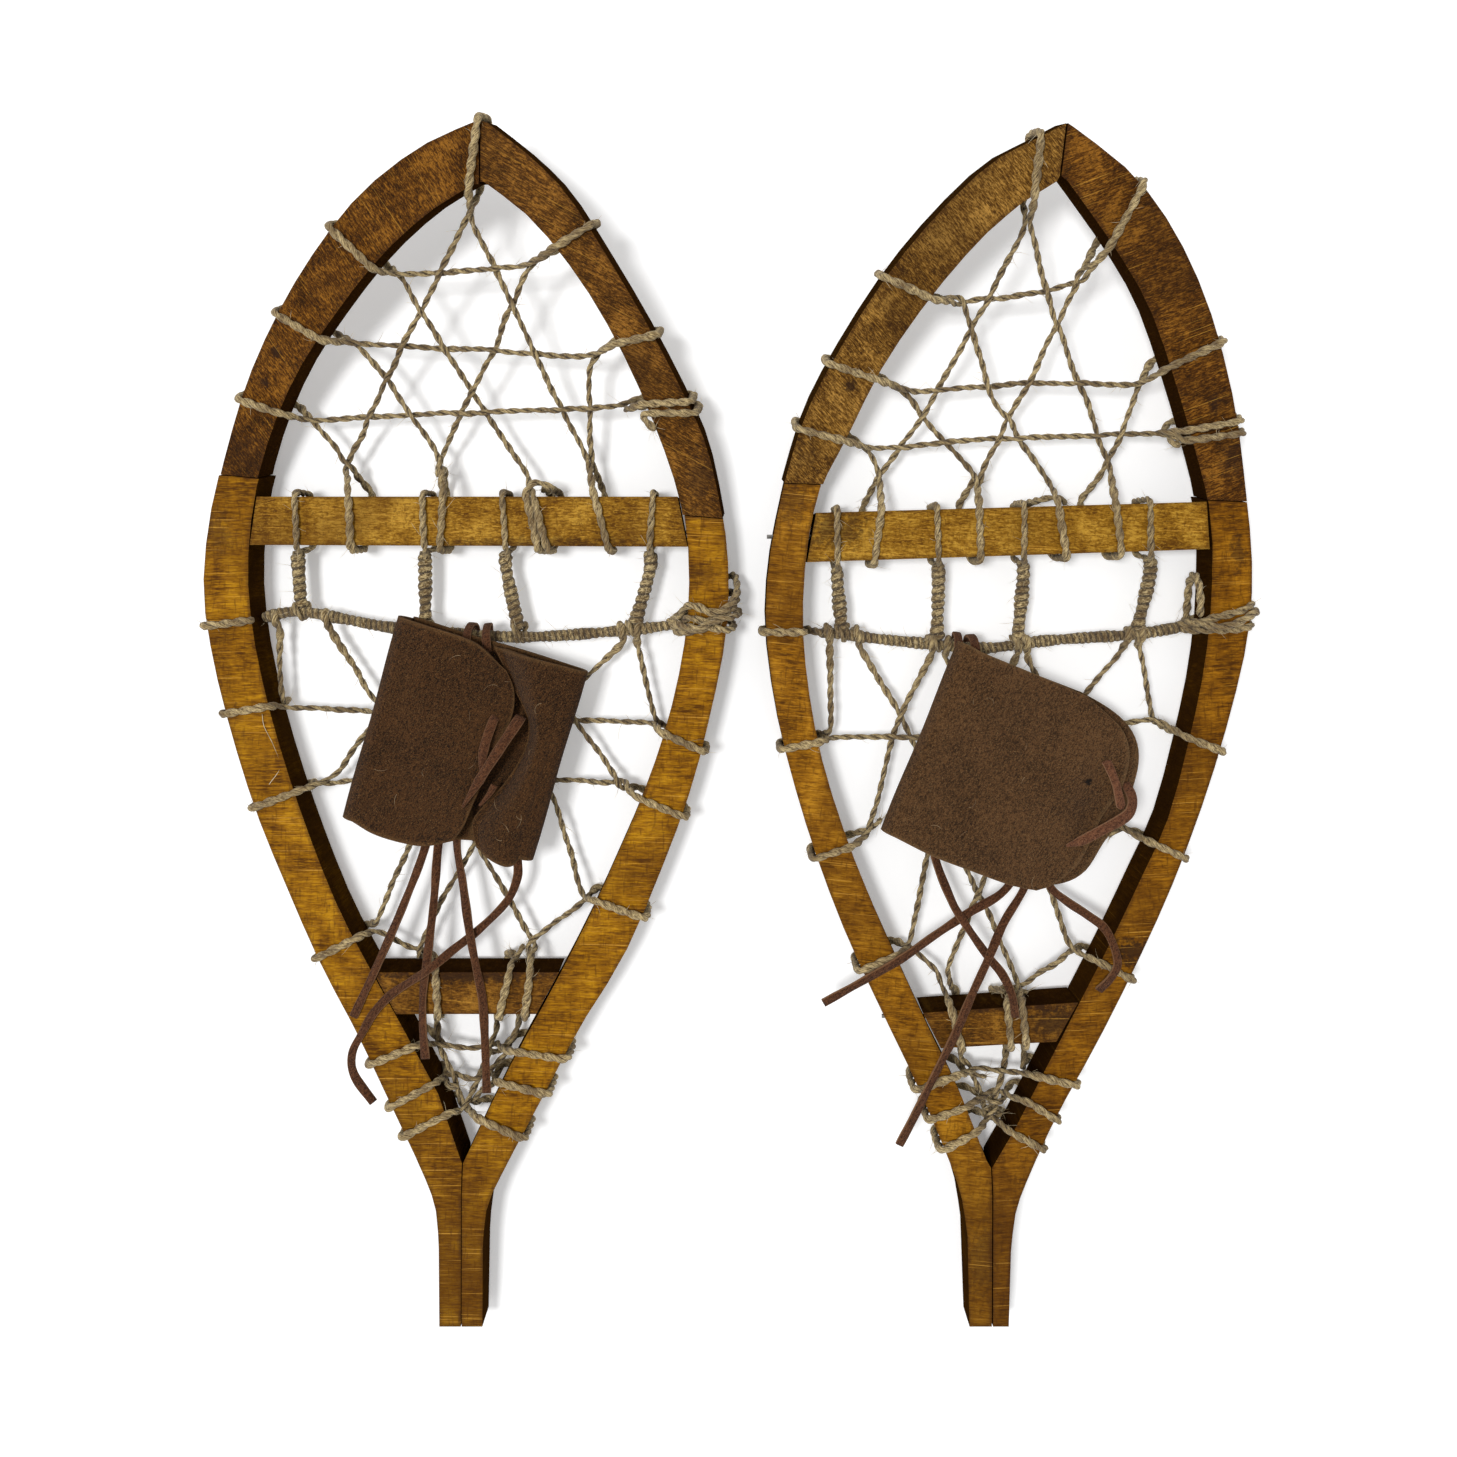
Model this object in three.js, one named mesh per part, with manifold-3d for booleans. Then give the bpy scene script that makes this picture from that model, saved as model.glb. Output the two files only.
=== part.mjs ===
// A pair of small decorative snowshoes: glued wooden frames with upturned toes, twine lacing,
// and a folded suede binding pocket tied to each toe cord. Millimetres, +Z up, toes towards +Y.
import * as THREE from 'three';
import { mergeVertices } from 'three/addons/utils/BufferGeometryUtils.js';
import Module from 'manifold-3d';

const wasm = await Module();
wasm.setup();

// ---------------------------------------------------------------- driving dimensions
const gap = 0.3;
const twine = 3.2;
const hug = gap + twine / 2 + 0.05;
const railThickness = 15;
const railBottom = hug + twine / 2;
const railTop = railBottom + railThickness;
const toeTilt = THREE.MathUtils.degToRad(15);
const tailStart = -156;
const tailEnd = -201.5;
const tailThinning = 3.5;
const netHeight = 10.4;
const crossHeight = 11.6;
const cordHeight = 11;
const cordDiameter = 3.8;
const whippedDiameter = 4.6;
const pinDiameter = 1.4;
const pinHoleDiameter = 2;
const suede = 1.6;
const pocketBottom = 17;
const wallTop = 24;
const flapBottom = wallTop + gap;
const laceWidth = 2.8;
const laceThickness = 1.2;
const laceHeight = flapBottom + suede + gap + laceThickness / 2;

// The plan below is drawn as seen from this point, on the level of the rails' top faces.
const eye = new THREE.Vector3(0, 60, railTop + 430);
// It moves the middle of the pair to the origin and the lowest twine to the ground.
const originShift = new THREE.Vector3(-0.355, 0.945, -0.18);

// ---------------------------------------------------------------- materials
const paint = (color, roughness, metalness = 0) =>
  new THREE.MeshStandardMaterial({ color, roughness, metalness });
const amberWood = () => paint(0xa8741c, 0.45);
const brownWood = () => paint(0x6e4a1e, 0.5);
const juteTwine = () => paint(0xb09a70, 0.9);
const brownSuede = () => paint(0x46301f, 0.95);
const redLace = () => paint(0x643c28, 0.8);
const steel = () => paint(0x8c8c8c, 0.4, 0.9);

const snowshoes = new THREE.Group();
snowshoes.position.copy(originShift);

function piece(name, geometry, material) {
  const mesh = new THREE.Mesh(geometry, material);
  mesh.name = name;
  snowshoes.add(mesh);
}

// ---------------------------------------------------------------- joining and cutting
function solidOf(geometry) {
  const bare = geometry.clone();
  bare.deleteAttribute('normal');
  bare.deleteAttribute('uv');
  const merged = mergeVertices(bare, 1e-4);
  return new wasm.Manifold(new wasm.Mesh({
    numProp: 3,
    vertProperties: new Float32Array(merged.attributes.position.array),
    triVerts: new Uint32Array(merged.index.array),
  }));
}

function geometryOf(solid) {
  const mesh = solid.getMesh();
  const geometry = new THREE.BufferGeometry();
  geometry.setAttribute('position', new THREE.BufferAttribute(mesh.vertProperties, 3));
  geometry.setIndex(new THREE.BufferAttribute(mesh.triVerts, 1));
  geometry.computeVertexNormals();
  return geometry;
}

// Joining leaves slivers where two faces nearly meet, so triangles this thin are merged.
const sliver = 0.08;
function join(geometries) {
  const joined = geometries.map(solidOf).reduce((all, solid) => all.add(solid));
  return geometryOf(joined.asOriginal().simplify(sliver));
}

// ---------------------------------------------------------------- frame sections
function contains(points, spot) {
  return points.reduce((inside, p, i) => {
    const q = points[(i + 1) % points.length];
    const crosses = (p.y > spot.y) !== (q.y > spot.y)
      && spot.x < p.x + (q.x - p.x) * (spot.y - p.y) / (q.y - p.y);
    return crosses ? !inside : inside;
  }, false);
}

// A section is a flat piece of the frame. The foot section lies level, and the toe section is
// turned up about a bend line that runs across the rails at their top faces.
class Section {
  constructor(bend, tilt) {
    this.members = [];
    const [a, b] = bend.map(([x, y]) => new THREE.Vector3(x, y, railTop));
    const axis = b.clone().sub(a).normalize();
    const turn = (angle) => new THREE.Matrix4().makeRotationAxis(axis, angle);
    const around = (matrix) => new THREE.Matrix4()
      .makeTranslation(a.x, a.y, a.z)
      .multiply(matrix)
      .multiply(new THREE.Matrix4().makeTranslation(-a.x, -a.y, -a.z));
    this.matrix = around(turn(tilt));
    this.inverse = this.matrix.clone().invert();
    this.seam = new THREE.Matrix4().makeTranslation(a.x, a.y, a.z)
      .multiply(turn(tilt / 2))
      .multiply(new THREE.Matrix4().makeRotationZ(Math.atan2(axis.y, axis.x)));
  }

  // The section's own place for a plan point, at one height in the section.
  local(x, y, z) {
    const from = eye.clone().applyMatrix4(this.inverse);
    const to = new THREE.Vector3(x, y, railTop).applyMatrix4(this.inverse);
    return from.lerp(to, (z - from.z) / (to.z - from.z));
  }

  net(points, height = netHeight) {
    return points.map(([x, y, z = height]) => this.local(x, y, z).applyMatrix4(this.matrix));
  }

  // Half a turn of twine around the member that lies between two plan points: from beside its
  // inner edge, across one face, to halfway down its outer side.
  turn(inner, outer, side) {
    const a = this.local(...inner, railTop);
    const b = this.local(...outer, railTop);
    const [near, far] = this.crossings(a, b);
    const face = side > 0 ? railTop : railBottom;
    const middle = railTop - railThickness / 2 - side;
    return [
      new THREE.Vector3(near.x, near.y, face + side * hug),
      new THREE.Vector3(far.x, far.y, face + side * hug),
      new THREE.Vector3(far.x, far.y, middle),
    ].map((p) => p.applyMatrix4(this.matrix));
  }

  // Where a line leaves a member on both sides, moved out so that twine clears the edges.
  crossings(a, b) {
    const middle = a.clone().lerp(b, 0.5);
    const member = this.members.find((points) => contains(points, middle));
    const along = new THREE.Vector2(b.x - a.x, b.y - a.y);
    const length = along.length();
    along.divideScalar(length);
    const hits = member.flatMap((p, i) => {
      const q = member[(i + 1) % member.length];
      const edge = q.clone().sub(p).normalize();
      const slant = along.cross(edge);
      const offset = new THREE.Vector2(p.x - a.x, p.y - a.y);
      const distance = offset.cross(edge) / slant;
      const onEdge = offset.cross(along) / slant;
      const onMember = onEdge >= 0 && onEdge <= p.distanceTo(q);
      return onMember ? [{ distance, room: hug / Math.abs(slant) }] : [];
    });
    const nearest = (target) => hits.reduce((best, hit) =>
      (Math.abs(hit.distance - target) < Math.abs(best.distance - target) ? hit : best));
    const start = nearest(0);
    const end = nearest(length);
    return [start.distance - start.room, end.distance + end.room].map((distance) =>
      new THREE.Vector2(a.x, a.y).addScaledVector(along, distance));
  }

  over(inner, outer) {
    return this.turn(inner, outer, 1);
  }

  under(inner, outer) {
    return this.turn(inner, outer, -1);
  }

  // A full loop around a bar, as its upper and lower halves.
  loop(inner, outer) {
    return [1, -1].map((side) => [this.turn(outer, inner, side).at(-1), ...this.turn(inner, outer, side)]);
  }
}

// ---------------------------------------------------------------- tubes
// A route passes exactly through its points. A flat route keeps its width level.
class Route extends THREE.Curve {
  constructor(points, flat = false) {
    super();
    this.points = points;
    this.flat = flat;
  }

  getPointAt(u) {
    const place = u * (this.points.length - 1);
    const i = Math.min(Math.floor(place), this.points.length - 2);
    return this.points[i].clone().lerp(this.points[i + 1], place - i);
  }

  getTangentAt(u) {
    const i = Math.round(u * (this.points.length - 1));
    const step = (from, to) => this.points[to].clone().sub(this.points[from]).normalize();
    const last = this.points.length - 1;
    if (i === 0) return step(0, 1);
    if (i === last) return step(last - 1, last);
    return step(i - 1, i).add(step(i, i + 1)).normalize();
  }

  computeFrenetFrames(segments, closed) {
    if (!this.flat) return super.computeFrenetFrames(segments, closed);
    const up = new THREE.Vector3(0, 0, 1);
    const tangents = this.points.map((_, i) => this.getTangentAt(i / segments));
    const normals = tangents.map((t) => up.clone().cross(t).normalize());
    const binormals = tangents.map((t, i) => t.clone().cross(normals[i]));
    return { tangents, normals, binormals };
  }
}

function ellipse(width, height, sides) {
  const points = Array.from({ length: sides }, (_, i) => {
    const angle = (i + 0.5) * 2 * Math.PI / sides;
    return new THREE.Vector2(Math.cos(angle) * width / 2, Math.sin(angle) * height / 2);
  });
  return new THREE.Shape(points);
}

function tube(points, diameter = twine, sides = 4) {
  return new THREE.ExtrudeGeometry(ellipse(diameter, diameter, sides), {
    steps: points.length - 1,
    bevelEnabled: false,
    extrudePath: new Route(points),
  });
}

function flatLace(points, stepLength = 10) {
  const curve = new THREE.CatmullRomCurve3(points, false, 'centripetal');
  const steps = Math.max(2, Math.round(curve.getLength() / stepLength));
  return new THREE.ExtrudeGeometry(ellipse(laceWidth, laceThickness, 8), {
    steps,
    bevelEnabled: false,
    extrudePath: new Route(curve.getSpacedPoints(steps), true),
  });
}

const vectors = (points) => points.map(([x, y, z]) => new THREE.Vector3(x, y, z));
const back = (points) => [...points].reverse();

// ---------------------------------------------------------------- plates and rails
// An outline is a list of runs; a run of more than two points is a smooth curve.
function outline(runs, place = (x, y) => [x, y]) {
  const shape = new THREE.Shape();
  runs.forEach((run, i) => {
    const points = run.map(([x, y]) => new THREE.Vector2(...place(x, y)));
    if (i === 0) shape.moveTo(points[0].x, points[0].y);
    else shape.lineTo(points[0].x, points[0].y);
    if (points.length > 2) shape.splineThru(points.slice(1));
    else if (points.length === 2) shape.lineTo(points[1].x, points[1].y);
  });
  return shape;
}

function slab(shape, bottom, top, curveSegments = 2) {
  const geometry = new THREE.ExtrudeGeometry(shape, {
    depth: top - bottom,
    bevelEnabled: false,
    curveSegments,
  });
  return geometry.translate(0, 0, bottom);
}

// A block that covers everything on one side of a section's seam.
function seamBlock(section, side) {
  const size = 600;
  return new THREE.BoxGeometry(size, size, size)
    .translate(0, side * (size / 2 + gap / 2), 0)
    .applyMatrix4(section.seam);
}

// The space above the tails, whose top faces slope down from tailStart to the tail's end.
function tailWedge() {
  const size = 600;
  return new THREE.BoxGeometry(size, size, size)
    .translate(0, -size / 2, size / 2)
    .rotateX(Math.atan2(tailThinning, tailStart - tailEnd))
    .translate(0, tailStart, railTop);
}

// A rail is cut at the seam, and thinned towards the tail.
function rail(section, seamSection, side, runs) {
  const place = (x, y) => section.local(x, y, railTop).toArray().slice(0, 2);
  const shape = outline(runs, place);
  section.members.push(shape.getPoints(2));
  const geometry = slab(shape, railBottom, railTop).applyMatrix4(section.matrix);
  return solidOf(geometry)
    .intersect(solidOf(seamBlock(seamSection, side)))
    .subtract(solidOf(tailWedge()));
}

// A headless pin through a rail into the end of a bar, along X.
function pin(x, y, length, diameter) {
  const middle = railBottom + railThickness / 2;
  return new THREE.CylinderGeometry(diameter / 2, diameter / 2, length, 8)
    .rotateZ(Math.PI / 2)
    .translate(x, y, middle);
}

// ---------------------------------------------------------------- one snowshoe
function frame(side, plan) {
  const foot = new Section(plan.bend, 0);
  const toe = new Section(plan.bend, toeTilt);
  const holes = plan.pins.map(([, x, y, length]) => solidOf(pin(x, y, length + 4, pinHoleDiameter)));
  const drilled = (solid) => holes.reduce((rest, hole) => rest.subtract(hole), solid);

  for (const [name, runs] of Object.entries(plan.footRails)) {
    piece(`${side}_${name}`, geometryOf(drilled(rail(foot, toe, -1, runs))), amberWood());
  }
  for (const [name, runs] of Object.entries(plan.toeRails)) {
    piece(`${side}_${name}`, geometryOf(rail(toe, toe, 1, runs)), brownWood());
  }
  for (const [name, corners] of Object.entries(plan.bars)) {
    const shape = outline(corners.map((corner) => [corner]));
    foot.members.push(shape.getPoints());
    piece(`${side}_${name}`, geometryOf(drilled(solidOf(slab(shape, railBottom, railTop)))), amberWood());
  }
  for (const [name, x, y, length] of plan.pins) {
    piece(`${side}_${name}`, pin(x, y, length, pinDiameter), steel());
  }
  return { foot, toe };
}

// The folded pocket: a back layer with an upstand along each fold, and a flap over each upstand.
function pocket(side, plan) {
  const walls = plan.folds.map(([[ax, ay], [bx, by]]) => {
    const inward = new THREE.Vector2(ay - by, bx - ax).normalize().multiplyScalar(suede);
    const corners = [[ax, ay], [bx, by], [bx + inward.x, by + inward.y], [ax + inward.x, ay + inward.y]];
    return slab(outline(corners.map((corner) => [corner])), pocketBottom, wallTop);
  });
  const floor = slab(outline(plan.back), pocketBottom, pocketBottom + suede);
  piece(`${side}_pocket_back`, join([floor, ...walls]), brownSuede());
  for (const [name, runs] of Object.entries(plan.flaps)) {
    piece(`${side}_${name}`, slab(outline(runs), flapBottom, flapBottom + suede), brownSuede());
  }
  const fastener = plan.fastener.map((points) =>
    flatLace(points.map(([x, y]) => new THREE.Vector3(x, y, laceHeight)), 5));
  piece(`${side}_pocket_lace`, join(fastener), redLace());
  const hook = (x) => flatLace(plan.tie.map(([y, z]) => new THREE.Vector3(x, y, z)), 3.2);
  piece(`${side}_toe_tie`, hook(plan.tieX), redLace());
  plan.tails.forEach((points, i) => {
    piece(`${side}_lace_tail_${i + 1}`, flatLace(vectors(points)), redLace());
  });
}

// ---------------------------------------------------------------- left snowshoe
const leftPlan = {
  bend: [[-163.5, 84], [-8.5, 70.5]],
  pins: [
    ['toe_bar_pin_a', -159, 68.5, 26],
    ['toe_bar_pin_b', -13.5, 65.5, 24],
    ['heel_bar_pin_a', -116.5, -88.5, 24],
    ['heel_bar_pin_b', -56.5, -88.5, 22],
  ],
  footRails: {
    foot_rail_a: [
      [[-166.5, 98], [-172.8, 71.2], [-175, 46], [-171.6, 22], [-165, -4], [-157, -29],
        [-147.2, -53], [-136.2, -78], [-123.6, -102], [-112.2, -126.2], [-102, -148],
        [-97.8, -160], [-96.9, -174]],
      [[-97.2, tailEnd], [-90, tailEnd]],
      [[-89.2, tailStart], [-88.9, -145]],
      [[-96.8, -121.8], [-108.5, -100], [-119, -81], [-129.5, -61], [-138.5, -39],
        [-146.5, -16], [-153.5, 8], [-158.5, 32], [-160.2, 54], [-157.8, 78], [-151, 104]],
    ],
    foot_rail_b: [
      [[-8, 98], [-2.2, 73], [0, 52], [-1, 30], [-6, 5], [-12.5, -20], [-22, -46],
        [-34.8, -75.5], [-49.5, -99.5], [-62, -123], [-74.5, -146.5], [-80.6, -160], [-82.2, -174]],
      [[-82.7, tailEnd], [-89.7, tailEnd]],
      [[-88.9, tailStart], [-88.5, -145]],
      [[-81.5, -130.2], [-71.5, -110], [-60.5, -90], [-48.5, -67], [-38, -44.2], [-28.5, -22],
        [-21, 0], [-15.8, 22], [-13.2, 44], [-14.5, 70.5], [-21, 95]],
    ],
  },
  toeRails: {
    toe_rail_a: [
      [[-172.5, 71], [-167.5, 92], [-160.5, 115.5], [-150.5, 138], [-138, 159], [-122.5, 178.5],
        [-103, 193.8], [-84, 202.6]],
      [[-83.2, 202.6], [-83.2, 181.5]],
      [[-85, 181.4], [-100, 172], [-116, 157.3], [-130.5, 139], [-143, 120], [-152, 100],
        [-158, 79], [-159.5, 66]],
    ],
    toe_rail_b: [
      [[-82.7, 202.6], [-82.7, 182.3]],
      [[-81.5, 182.2], [-65, 169], [-48.5, 148], [-35, 124.5], [-24, 99.5], [-16.5, 77.2],
        [-13.3, 58]],
      [[0, 55], [-2.2, 71.2], [-7, 93], [-14.5, 110.5], [-27, 134.5], [-41.2, 158.5],
        [-54, 178.2], [-66, 190.5], [-80.5, 202]],
    ],
  },
  bars: {
    toe_bar: [[-157.3, 77.3], [-159.6, 61.2], [-13.7, 60.6], [-17, 77.3]],
    heel_bar: [[-118.4, -81.3], [-110.8, -95.2], [-64.1, -95.2], [-56.5, -81.3]],
  },
  folds: [[[-109.2, 37.8], [-127.6, -28.3]], [[-64.7, -43], [-46.6, 19.3]]],
  back: [
    [[-109.2, 37.8], [-127.6, -28.3]],
    [[-99.5, -36.4], [-85, -37.4]],
    [[-79.5, -40.8], [-64.7, -43]],
    [[-46.6, 19.3], [-87.2, 29.8]],
  ],
  flaps: {
    pocket_flap_a: [
      [[-109.2, 37.8], [-127.6, -28.3]],
      [[-116.2, -33.6], [-107.5, -36.3], [-99.5, -37.6], [-91.5, -36.6], [-87, -31], [-84, -24],
        [-79.6, -14], [-76, -4], [-71.4, 4.5], [-70.6, 13], [-74.5, 21.5], [-80.5, 27.2],
        [-87.4, 31]],
    ],
    pocket_flap_b: [
      [[-46.6, 19.3], [-71.2, 25.8]],
      [[-68.8, 15], [-66.2, 4], [-67, -5], [-72.5, -15.5], [-80, -24], [-83.8, -30],
        [-83.4, -36], [-78.6, -41], [-72, -43.8]],
      [[-64.7, -43]],
    ],
  },
  fastener: [
    [[-77.5, 3], [-79.6, -5], [-80.5, -13]],
    [[-69.5, 3.5], [-75, -6], [-81, -15], [-87.5, -24]],
  ],
  tieX: -84,
  tie: [[26.5, 19.5], [30.6, 19.5], [33.9, 16.5], [35.1, 12], [33.6, 8.2], [30.6, 7.2], [27.8, 8.6],
    [26.6, 12], [26, 16]],
  tails: [
    [[-89.5, 24.5, 15], [-93.5, 5, 15.1], [-98.5, -20, 15.2], [-101.5, -39, 15.4],
      [-108.6, -59, 17], [-116.3, -77.5, 19.3], [-120.5, -86.5, 19.3], [-124.8, -95.8, 19.3]],
    [[-85.4, 24.5, 15], [-89.2, 5, 15.1], [-94.5, -20, 15.2], [-97.4, -38.8, 15.4],
      [-98.6, -58, 16.8], [-100.2, -76, 19.3], [-101.6, -88, 19.3], [-101.3, -98, 21],
      [-100.4, -109, 21.2]],
    [[-81.3, 24.5, 15], [-84.6, 5, 15.1], [-88.9, -20, 15.2], [-91.2, -37.8, 15.4],
      [-88.8, -52, 17.2], [-86.2, -67.2, 19.4], [-84, -79, 19.5], [-81.8, -90.5, 19.4],
      [-80.9, -105, 19.8], [-80.2, -120.5, 20.6]],
    [[-77.2, 24.5, 15], [-75, 0, 15.2], [-72, -25, 15.2], [-70.8, -44.5, 15.4], [-71, -51, 16],
      [-74.5, -58.5, 16.5], [-83.8, -67.8, 16.6], [-91.5, -73.5, 18.8], [-98.5, -78.6, 23.1],
      [-106, -84, 20.4], [-112.5, -88.6, 19.4], [-118, -94.5, 19.3], [-121.8, -101, 19.3],
      [-125.2, -108, 19.3], [-125, -116, 17.5], [-119.4, -126, 15]],
  ],
};

// ---------------------------------------------------------------- right snowshoe
const rightPlan = {
  bend: [[25, 81.5], [166.5, 75.8]],
  pins: [
    ['toe_bar_pin_a', 26, 64, 26],
    ['toe_bar_pin_b', 161, 68, 26],
    ['heel_bar_pin_a', 64, -98.5, 24],
    ['heel_bar_pin_b', 116, -97, 24],
  ],
  footRails: {
    foot_rail_a: [
      [[22.5, 98], [17.8, 78], [13.6, 56], [12.5, 33], [16, 6], [22, -19], [29.5, -43],
        [39, -68], [50.5, -93], [62.5, -118], [72.8, -142.2], [77.6, -156], [79.9, -170]],
      [[81, tailEnd], [88.5, tailEnd]],
      [[87.9, tailStart], [87.5, -146.5]],
      [[86, -144], [77, -121], [67, -100.5], [56, -76.5], [47, -56], [38.5, -34], [31, -9.5],
        [26.6, 14], [24.8, 36], [26.2, 60], [30.2, 79], [37, 98]],
    ],
    foot_rail_b: [
      [[169, 98], [172.8, 76.2], [174.6, 52], [173, 30], [167, 4], [158.5, -24], [148, -52],
        [136.5, -77.5], [123, -104.5], [109.5, -129], [100.2, -149.2], [96, -161], [94.5, -175]],
      [[94.2, tailEnd], [88.9, tailEnd]],
      [[88.3, tailStart], [87.9, -146.5]],
      [[95.5, -133.5], [106.5, -112], [117.5, -90.5], [128, -70], [137.5, -50], [146.5, -30],
        [153.5, -4], [158.5, 20], [161, 44], [160.6, 72], [153, 102]],
    ],
  },
  toeRails: {
    toe_rail_a: [
      [[14.5, 66], [19, 83.2], [25.5, 104], [36, 124.5], [51.8, 149.4], [68, 169.5],
        [87, 188], [103.2, 196.8], [112.6, 201.8]],
      [[110.4, 184.2], [109.5, 182.4]],
      [[98, 175.3], [84, 163], [66.5, 142.5], [51, 119.8], [39.5, 97], [31, 80.5], [27, 66]],
    ],
    toe_rail_b: [
      [[113.2, 201.8], [111, 184.2]],
      [[113, 182.6], [128, 161.5], [140, 141], [148.5, 117], [155.5, 93], [160, 75], [161.4, 60]],
      [[174.2, 60], [172.6, 78], [168.8, 107.5], [161, 138], [149.8, 163.8], [135, 184.5],
        [115, 200.6]],
    ],
  },
  bars: {
    toe_bar: [[29.2, 71.9], [26.2, 55.4], [160.4, 59.8], [159.4, 75.6]],
    heel_bar: [[64.8, -94.8], [70.8, -106.6], [109.3, -104.4], [116.6, -91.3]],
  },
  folds: [[[75.9, 29.5], [50.3, -33]]],
  back: [
    [[75.9, 29.5], [50.3, -33]],
    [[66.8, -40.6], [78, -44.9], [92, -50.1], [101, -52.2], [111, -51.8], [119, -47.5],
      [125.5, -37.5], [132.3, -29], [134.8, -20.5], [136.8, -12], [136.4, -5], [133.2, 1.2],
      [127, 6.7], [118, 12]],
    [[103, 17.8], [84.5, 25]],
  ],
  flaps: {
    pocket_flap: [
      [[75.9, 29.5], [50.3, -33]],
      [[66.8, -40.8], [78, -45.1], [92, -50.3], [101, -52.3], [108, -50.8], [116.5, -44.5],
        [121.5, -36], [127, -26.5], [132.3, -18.5], [134.9, -11], [135, -5], [132.2, 1.2],
        [126.4, 6.6], [118, 11.8]],
      [[103, 17.8], [84.5, 25.4]],
    ],
  },
  fastener: [
    [[125.2, -12.8], [128.5, -19], [130.4, -26]],
    [[131.5, -22], [129.5, -29], [121, -35.5], [112.2, -38.2]],
  ],
  tieX: 83.2,
  tie: [[22.6, 19.5], [26.9, 19.5], [30.1, 16.5], [31.3, 12], [29.9, 8.2], [26.8, 7.2], [24, 8.6],
    [22.8, 12], [22.2, 16]],
  tails: [
    [[80, 20.5, 15], [88, 0, 15.1], [96, -25, 15.2], [97.6, -44, 15.3], [92.5, -54.8, 15.7],
      [80, -62, 17.2], [68, -69, 19.6], [57, -75.5, 22.7], [44, -83, 22.6], [31.4, -90.3, 21.8]],
    [[84.2, 20.5, 15], [92.2, 0, 15.1], [100.5, -25, 15.2], [101.8, -44, 15.3],
      [99.2, -54, 15.6], [92, -65, 17.5], [86.2, -76, 20.8], [80.5, -88, 21.4], [75, -100, 22.7],
      [70.5, -109, 22.7], [66, -118, 22.7], [61.5, -127.5, 22.2], [56.6, -137.6, 21]],
    [[75.8, 20.5, 15], [72, 0, 15.1], [68.5, -25, 15.2], [69, -42, 15.3], [74.2, -57, 18],
      [78.4, -64.4, 19.7], [86.2, -75.6, 18.4], [91, -81.5, 20], [93.6, -87.5, 22.5],
      [94.8, -94.8, 22.5]],
    [[88.4, 20.5, 15], [98, 0, 15.1], [105.5, -25, 15.2], [107, -44, 15.3], [107.8, -53, 15.4],
      [113, -58, 15.8], [120, -62.5, 17.6], [125.6, -67, 20], [128.4, -76, 22.8],
      [126.5, -81.5, 22.5], [122.8, -86.6, 20.5]],
  ],
};

// ---------------------------------------------------------------- lacing
// One tube for each run of twine. A run starts and ends with half a turn around a member, or in
// the net, and the runs of a net overlap where they touch, so each net is one body.
function lacing(name, runs) {
  piece(name, join(runs), juteTwine());
}

const strand = (...parts) => tube(parts.flat());
const loops = (halves) => halves.map((half) => tube(half));

function whipped(section, points, diameter = whippedDiameter) {
  return tube(section.net(points, cordHeight), diameter, 7);
}

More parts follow.
